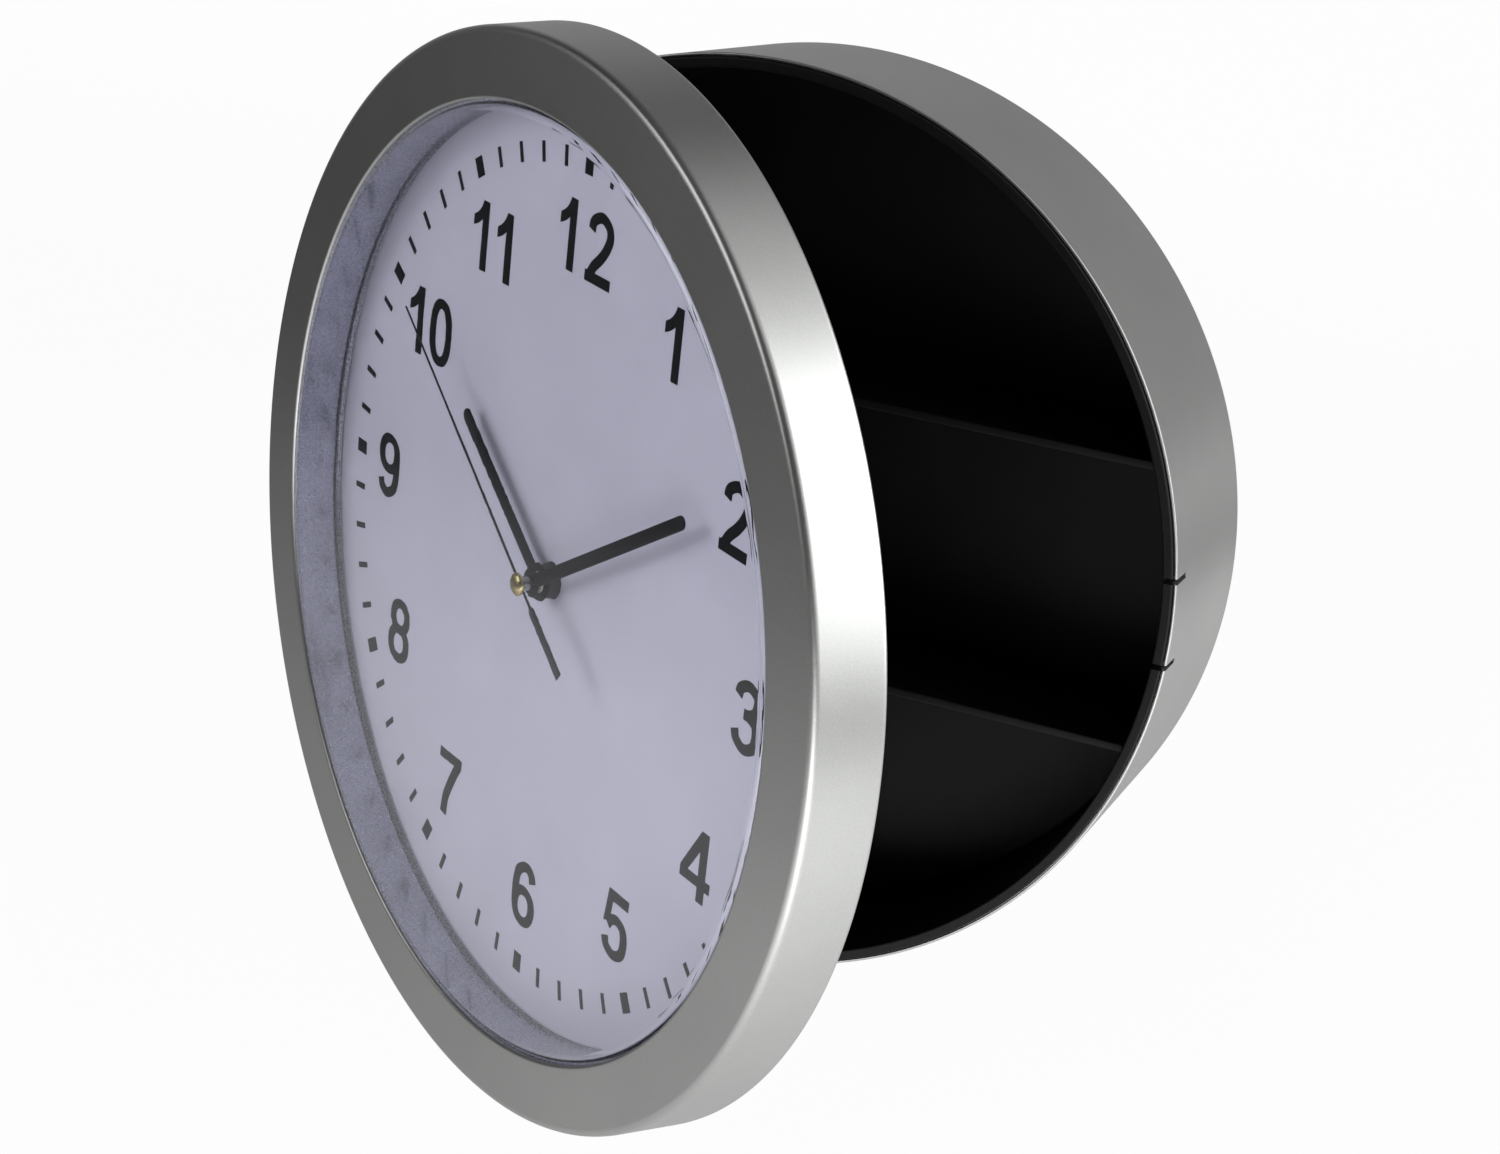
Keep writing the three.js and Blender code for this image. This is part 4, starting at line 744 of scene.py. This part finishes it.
cutters = [slab("keyholeCut", np.vstack([slotEnd, entry]), depth - 4, depth + 2, fromCase, edge=0)]
for x, z in screwPlaces:
    cutters.append(slab("recessCut", circle(s["recess"], 48, x, z), depth - s["recessDepth"], depth + 2,
                        fromCase, edge=0))


def slitCutter(side):
    near = side * s["slitInner"]
    far = side * (s["slitInner"] + s["slitWidth"])
    return box("slitCut", (100, 120), (-3, s["slitLength"]), sorted((near, far)), fromCase)


cutters += [slitCutter(1), slitCutter(-1)]
dress(withCut(shell, cutters), silver, "case", "silver_paint", "case_shell")

# Black tray: a cup with a lip in front of the silver edge
trayShape = {
    "depth": 46.0, "wall": 1.6, "backWall": 1.6, "gap": 0.3,
    "lipStand": 0.6, "lipBack": 0.8, "lipRadius": 114.05, "lipRound": 0.4,
}
t = trayShape


def trayInside(y):
    return shellRadius(y) - s["wall"] - t["gap"] - t["wall"]


backInside = t["depth"] - t["backWall"]
tray = turned("inner_tray", [
    (0, t["depth"], 0),
    (trayInside(t["depth"]) + t["wall"], t["depth"], 0.6),
    (trayInside(t["lipBack"]) + t["wall"], t["lipBack"], 0.1),
    (t["lipRadius"], t["lipBack"], 0.1),
    (t["lipRadius"], -t["lipStand"], t["lipRound"]),
    (trayInside(0), -t["lipStand"], 0.5),
    (trayInside(backInside), backInside, 1.2),
    (0, backInside, 0),
], fromCase)
dress(withCut(tray, [slitCutter(1), slitCutter(-1)]), black, "case", "black_plastic", "inner_tray")

# Shelves
shelfShape = {"thickness": 2.0, "front": 4.0, "upper": 35.7, "lower": -34.4, "edge": 0.35}
q = shelfShape
for name, height in (("shelf_upper", q["upper"]), ("shelf_lower", q["lower"])):
    far = backInside - t["gap"]
    edgeHeight = abs(height) + q["thickness"] / 2
    depths = np.array([q["front"], far])
    half = np.sqrt(trayInside(depths) ** 2 - edgeHeight ** 2) - t["gap"]
    outline = [(-half[0], depths[0]), (half[0], depths[0]), (half[1], depths[1]), (-half[1], depths[1])]
    plank = slab(name, outline, height - q["thickness"] / 2, height + q["thickness"] / 2, fromCase,
                 edge=q["edge"], steps=5, upright=True)
    dress(plank, black, "case", "black_plastic", name)
print("case made")

# Pan head screws with a cross recess. Each turns its head to the back of the clock.
screwShape = {"shank": 1.3, "head": 2.8, "headHeight": 1.6, "dome": 0.5, "pitch": 0.9, "thread": 0.22,
              "cross": 1.5, "crossWidth": 0.42, "crossDepth": 0.9, "tip": 0.4, "tipLength": 0.8}
w = screwShape


def screw(name, length, place):
    # the head's height falls with r^4 and drops in the cross; the shank's radius swells with each turn of thread
    angle = np.linspace(0, 2 * pi, 72, endpoint=False)
    r = np.linspace(0, w["head"], 30)[:, None]
    x, z = r * np.cos(angle), r * np.sin(angle)
    inCross = (np.minimum(abs(x), abs(z)) < w["crossWidth"]) & (np.maximum(abs(x), abs(z)) < w["cross"])
    drop = np.where(inCross, w["crossDepth"] * (1 - np.maximum(abs(x), abs(z)) / w["cross"] * 0.5), 0)
    headY = -w["dome"] * (r / w["head"]) ** 4 - drop
    head = np.stack([x, headY, z], -1)
    under = np.array([(w["head"], -w["headHeight"] + 0.1), (w["head"] - 0.1, -w["headHeight"]),
                      (w["shank"], -w["headHeight"])])
    steps = int(length / w["pitch"] * 8)
    along = np.linspace(0, length - w["tipLength"], steps)[:, None]
    swell = w["shank"] - w["thread"] * (0.5 - 0.5 * np.cos(2 * pi * along / w["pitch"] + angle))
    shank = np.stack([swell * np.cos(angle), -w["headHeight"] - along + 0 * angle, swell * np.sin(angle)], -1)

    def ringAt(radius, y):
        return np.stack([radius * np.cos(angle), y + 0 * angle, radius * np.sin(angle)], -1)

    rings = [ringAt(radius, y) for radius, y in under]
    end = -w["headHeight"] - length
    grid = np.concatenate([head, np.array(rings), shank, np.array([ringAt(w["tip"], end), ringAt(0, end)])])
    return meshPiece(name, place(grid), gridFaces(len(grid), len(angle), False, True))


for i, (x, z) in enumerate(screwPlaces):
    name = f"tray_screw_{i + 1}"
    dress(screw(name, 7, moved(fromCase, x, depth - 0.3, z)), steel, "case", "steel", name)
bossRadius = (b["radius"] - b["wall"] + b["inner"] + b["innerWall"]) / 2
bossPlaces = [(bossRadius * sin(radians(a)), bossRadius * cos(radians(a))) for a in (35, 145, 215, 325)]
for i, (x, z) in enumerate(bossPlaces):
    name = f"door_screw_{i + 1}"
    dress(screw(name, 9, moved(fromDoor, x, -0.2, z)), steel, "door", "steel", name)
print("screws made")

# Back plate of the door: a disc with the stop ring that meets the tray's lip, hinge ears and the catch tongue
plateShape = {
    "radius": 124.9, "front": -3.9, "back": -2.1, "hole": 4.3, "stopOuter": 114.05, "stopWidth": 2.0,
    "stopBack": -0.9, "screwHole": 1.6, "armInner": 10.9, "armHeight": 4.0, "armGap": 0.3, "slotGap": 0.6,
    "slotEnd": -106.7, "earHeight": 3.5, "earRadius": 1.9, "root": 0.5,
    "hookHalf": 6.0, "hookThickness": 1.6, "hookReach": 5.5, "barb": 0.5, "barbLength": 1.6, "hookOuter": 110.358,
}
h = plateShape
plate = turned("plate", [
    (h["hole"], h["front"], 0.1), (h["radius"], h["front"], 0.3), (h["radius"], h["back"], 0.3),
    (h["stopOuter"], h["back"], 0.2), (h["stopOuter"], h["stopBack"], 0.35),
    (h["stopOuter"] - h["stopWidth"], h["stopBack"], 0.35), (h["stopOuter"] - h["stopWidth"], h["back"], 0.2),
    (h["hole"], h["back"], 0.1),
], fromDoor)
cutters = [slab("holeCut", circle(h["screwHole"], 32, x, z), -8, 2, fromDoor, edge=0) for x, z in bossPlaces]
armEnd = h["armInner"] + h["armHeight"] + h["armGap"]
for side in (1, -1):
    low, high = sorted((side * (h["armInner"] - h["slotGap"]), side * armEnd))
    cutters.append(box("slotCut", (-130, h["slotEnd"]), (-6, 2), (low, high), fromDoor))
parts = [withCut(plate, cutters)]
sweep = np.linspace(pi, 2 * pi, 25)
pin = np.array([build["hingeX"], build["hingeY"]])
nose = pin + h["earRadius"] * np.stack([np.cos(sweep), np.sin(sweep)], 1)
foot = [(pin[0] + h["earRadius"], h["front"] + h["root"]), (pin[0] - h["earRadius"], h["front"] + h["root"])]
for side in (1, -1):
    low, high = sorted((side * armEnd, side * (armEnd + h["earHeight"])))
    parts.append(slab("ear", np.vstack([nose, foot]), low, high, fromDoor, edge=0.25, upright=True))
outer = h["hookOuter"] - h["barb"]
hook = [(outer - h["hookThickness"], h["back"] - h["root"]), (outer, h["back"] - h["root"]),
        (outer, h["hookReach"] - h["barbLength"]), (h["hookOuter"], h["hookReach"] - h["barbLength"]),
        (outer, h["hookReach"]), (outer - h["hookThickness"], h["hookReach"])]
parts.append(slab("hook", hook, -h["hookHalf"], h["hookHalf"], fromDoor, edge=0.12, upright=True))
# two clips that hold the movement
clipShape = {
    "near": 28.3, "thickness": 1.6, "barb": 1.1, "hookFront": 14.8, "hookLength": 1.4, "bottom": 0.0, "top": 10.0,
}
e = clipShape
for side in (1, -1):
    middle = e["hookFront"] + e["hookLength"] / 2
    back = e["hookFront"] + e["hookLength"]
    start = h["back"] - h["root"]
    near, far, tip = side * e["near"], side * (e["near"] + e["thickness"]), side * (e["near"] - e["barb"])
    clip = [(near, start), (far, start), (far, back), (near, back), (tip, middle), (tip, e["hookFront"]),
            (near, e["hookFront"])]
    parts.append(slab("clip", clip, e["bottom"], e["top"], fromDoor, edge=0.12, upright=True))
dress(joined("door_back", parts), black, "door", "black_plastic", "door_back")


def softened(node, paint, body, slot, width):
    # the CAD node's own shape with its edges rounded by a bevel
    work = bmesh.new()
    work.from_mesh(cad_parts[node].data)
    bmesh.ops.remove_doubles(work, verts=work.verts, dist=1e-6)
    bmesh.ops.dissolve_limit(work, angle_limit=radians(1), verts=work.verts, edges=work.edges)
    mesh = bpy.data.meshes.new(node + "_fine")
    work.to_mesh(mesh)
    work.free()
    mesh.shade_smooth()
    mesh.set_sharp_from_angle(angle=radians(40))
    piece = bpy.data.objects.new(node + "_fine", mesh)
    bpy.context.scene.collection.objects.link(piece)
    bevel = piece.modifiers.new("edges", "BEVEL")
    bevel.width = width / 1000
    bevel.segments = 2
    bevel.limit_method = "ANGLE"
    bevel.angle_limit = radians(50)
    bevel.use_clamp_overlap = True
    return dress(piece, paint, body, slot, node)


softened("movement_case", movement, "door", "movement_plastic", 0.35)
softened("movement_cover", movement, "door", "movement_plastic", 0.3)
softened("hinge_bracket", black, "case", "black_plastic", 0.2)
softened("set_knob", movement, "set_knob", "movement_plastic", 0.1)
print("back pieces made")

# Nodes that keep their CAD shape
kept = {
    "clock_chip": black, "train_plate": movement, "rear_bridge": movement, "minute_arbor": brass,
    "hinge_pin": steel, "bracket_screw_1": steel, "bracket_screw_2": steel, "stator": steel,
    "crystal_can": steel, "contact_positive": steel, "contact_negative": steel,
    "coil_bobbin": gearPlastic, "coil_winding": copper,
    "circuit_board": board, "battery": wrap, "hour_wheel": gearPlastic, "centre_wheel": gearPlastic,
    "seconds_wheel": gearPlastic, "third_wheel": gearPlastic, "step_wheel": gearPlastic,
    "minute_work_wheel": gearPlastic, "rotor": magnet,
}
for name, paint in kept.items():
    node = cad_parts[name]
    node.data.materials.clear()
    node.data.materials.append(paint.material)
print("CAD nodes painted")

# Studio: pale floor, soft lamps, and the photograph's camera. The camera sees the floor nearly white. The silver
# and the lens mirror it as a lit table in a dim room: brightest on the right and near the camera, dimmer on the
# left, and with a slanted left edge. The sky is dim and has a bright side on the right.
studio = {
    "floorZ": -0.42, "floorSize": 18, "floorSeen": 0.97, "tableGrey": 0.3, "roomGrey": 0.06,
    "tableStart": 1.5, "tableEnd": 1.7, "edgeStart": -1.6, "edgeEnd": -1.2,
    "tableLeft": 0.6, "tableRight": 1.1, "tableFront": 0.75, "tableNear": 1.25, "farBack": 0.5,
    "cameraPlace": (0.337852, -0.76454, 0.248871), "cameraTurn": (71.4587, -4.9964, 26.7371), "lens": 80.486,
}


def grey(value):
    return (value, value, value, 1)


floorPaint = Paint("paleFloor", grey(0.8), 0.9)
onFloor = floorPaint.place()
across = floorPaint.node("ShaderNodeSeparateXYZ", {}, {0: onFloor}, output="X")
fromMiddle = floorPaint.node("ShaderNodeVectorMath", {"operation": "LENGTH"}, {0: onFloor}, output="Value")
toBack = floorPaint.node("ShaderNodeSeparateXYZ", {}, {0: onFloor}, output="Y")
leftEdge = floorPaint.spread(across + toBack, 0, 1.0, studio["edgeStart"], studio["edgeEnd"])
reach = floorPaint.spread(fromMiddle, 1.0, 0.0, studio["tableStart"], studio["tableEnd"]) * leftEdge
onLeft = floorPaint.spread(across, 1.0, studio["tableLeft"], -0.25, -0.6)
lit = (floorPaint.spread(across, 0, studio["tableRight"], -0.15, 0.85)
       + floorPaint.spread(toBack, studio["tableFront"], 0, -0.6, 0.6) * onLeft
       + floorPaint.spread(toBack, studio["tableNear"], 0, -0.8, -0.3)) * reach
lit = lit + floorPaint.spread(toBack, 0, studio["farBack"], 1.4, 2.6)
floorPaint.feed("Base Color", floorPaint.mixColour(reach, grey(studio["roomGrey"]), grey(studio["tableGrey"])))
floorPaint.feed("Emission Color", floorPaint.node("ShaderNodeCombineColor", {}, {0: lit, 1: lit, 2: lit}))
floorPaint.set("Emission Strength", 1.0)
glow = floorPaint.tree.nodes.new("ShaderNodeEmission")
glow.inputs["Color"].default_value = grey(1)
floorMixer = floorPaint.tree.nodes.new("ShaderNodeMixShader")
seen = floorPaint.node("ShaderNodeLightPath", output="Is Camera Ray")
floorPaint.link(seen * studio["floorSeen"], floorMixer.inputs[0])
floorPaint.tree.links.new(floorPaint.shader.outputs[0], floorMixer.inputs[1])
floorPaint.tree.links.new(glow.outputs[0], floorMixer.inputs[2])
floorPaint.tree.links.new(floorMixer.outputs[0], floorPaint.tree.nodes["Material Output"].inputs["Surface"])
half = studio["floorSize"] / 2
floorMesh = bpy.data.meshes.new("floor")
floorMesh.from_pydata([(-half, -half, studio["floorZ"]), (half, -half, studio["floorZ"]),
                       (half, half, studio["floorZ"]), (-half, half, studio["floorZ"])], [], [[0, 1, 2, 3]])
floorMesh.materials.append(floorPaint.material)
floor = bpy.data.objects.new("floor", floorMesh)
bpy.context.scene.collection.objects.link(floor)

world = bpy.data.worlds.new("studio")
bpy.context.scene.world = world
world.use_nodes = True
sky = world.node_tree


def skyNode(kind, settings, values):
    made = sky.nodes.new(kind)
    for key, value in settings.items():
        setattr(made, key, value)
    for key, value in values.items():
        if isinstance(value, bpy.types.NodeSocket):
            sky.links.new(value, made.inputs[key])
        else:
            made.inputs[key].default_value = value
    return made.outputs[0]


def glowTowards(direction, start, end, strength):
    # how far the sky's direction turns towards the given one, as a soft step
    toward = sky.nodes.new("ShaderNodeVectorMath")
    toward.operation = "DOT_PRODUCT"
    toward.inputs[1].default_value = Vector(direction).normalized()
    sky.links.new(skyPlace.outputs["Generated"], toward.inputs[0])
    values = {"Value": toward.outputs["Value"], "From Min": start, "From Max": end, "To Max": strength}
    return skyNode("ShaderNodeMapRange", {"interpolation_type": "SMOOTHSTEP"}, values)


skyPlace = sky.nodes.new("ShaderNodeTexCoord")
background = sky.nodes["Background"]
# direction, where the soft step starts and ends, strength
skyLights = {
    "rightHigh": ((0.72, 0.25, 0.65), 0.6, 0.97, 0.95),
    "right": ((0.98, 0.17, 0.08), 0.7, 0.97, 1.65),
    "behindLeft": ((-0.45, 0.9, 0), 0.5, 0.97, 0.385),
    "above": ((0, -0.3, 1), 0.5, 1.0, 0.1),
}
light = 0.0
for glowLight in skyLights.values():
    light = skyNode("ShaderNodeMath", {"operation": "ADD"}, {0: light, 1: glowTowards(*glowLight)})
sky.links.new(light, background.inputs["Strength"])
background.inputs["Color"].default_value = grey(1)
print("stage made")


def lamp(name, place, target, size, power):
    data = bpy.data.lights.new(name, "AREA")
    data.shape = "RECTANGLE"
    data.size, data.size_y = size
    data.energy = power
    made = bpy.data.objects.new(name, data)
    made.location = place
    direction = Vector(place) - Vector(target)
    made.rotation_mode = "QUATERNION"
    made.rotation_quaternion = direction.to_track_quat("Z", "Y")
    bpy.context.scene.collection.objects.link(made)


# place, what it points at, size, power
lamps = {
    "keyLamp": ((-1.05, -0.9, 0.5), (0, -0.1, 0), (0.75, 0.75), 4.4),
    "sideLamp": ((1.12, 0.22, 0.47), (0.1, -0.1, 0), (0.8, 1.25), 9.5),
    "lowLamp": ((0.25, -0.5, -0.16), (0, -0.1, 0), (0.3, 0.3), 0.56),
}
for name, values in lamps.items():
    lamp(name, *values)

camera = bpy.data.objects.new("camera", bpy.data.cameras.new("camera"))
bpy.context.scene.collection.objects.link(camera)
camera.data.sensor_width = 36
camera.data.lens = studio["lens"]
camera.data.clip_start = 0.01
camera.location = studio["cameraPlace"]
camera.rotation_euler = [radians(angle) for angle in studio["cameraTurn"]]
bpy.context.scene.camera = camera
bpy.context.scene.view_settings.view_transform = "Standard"
print("studio made")
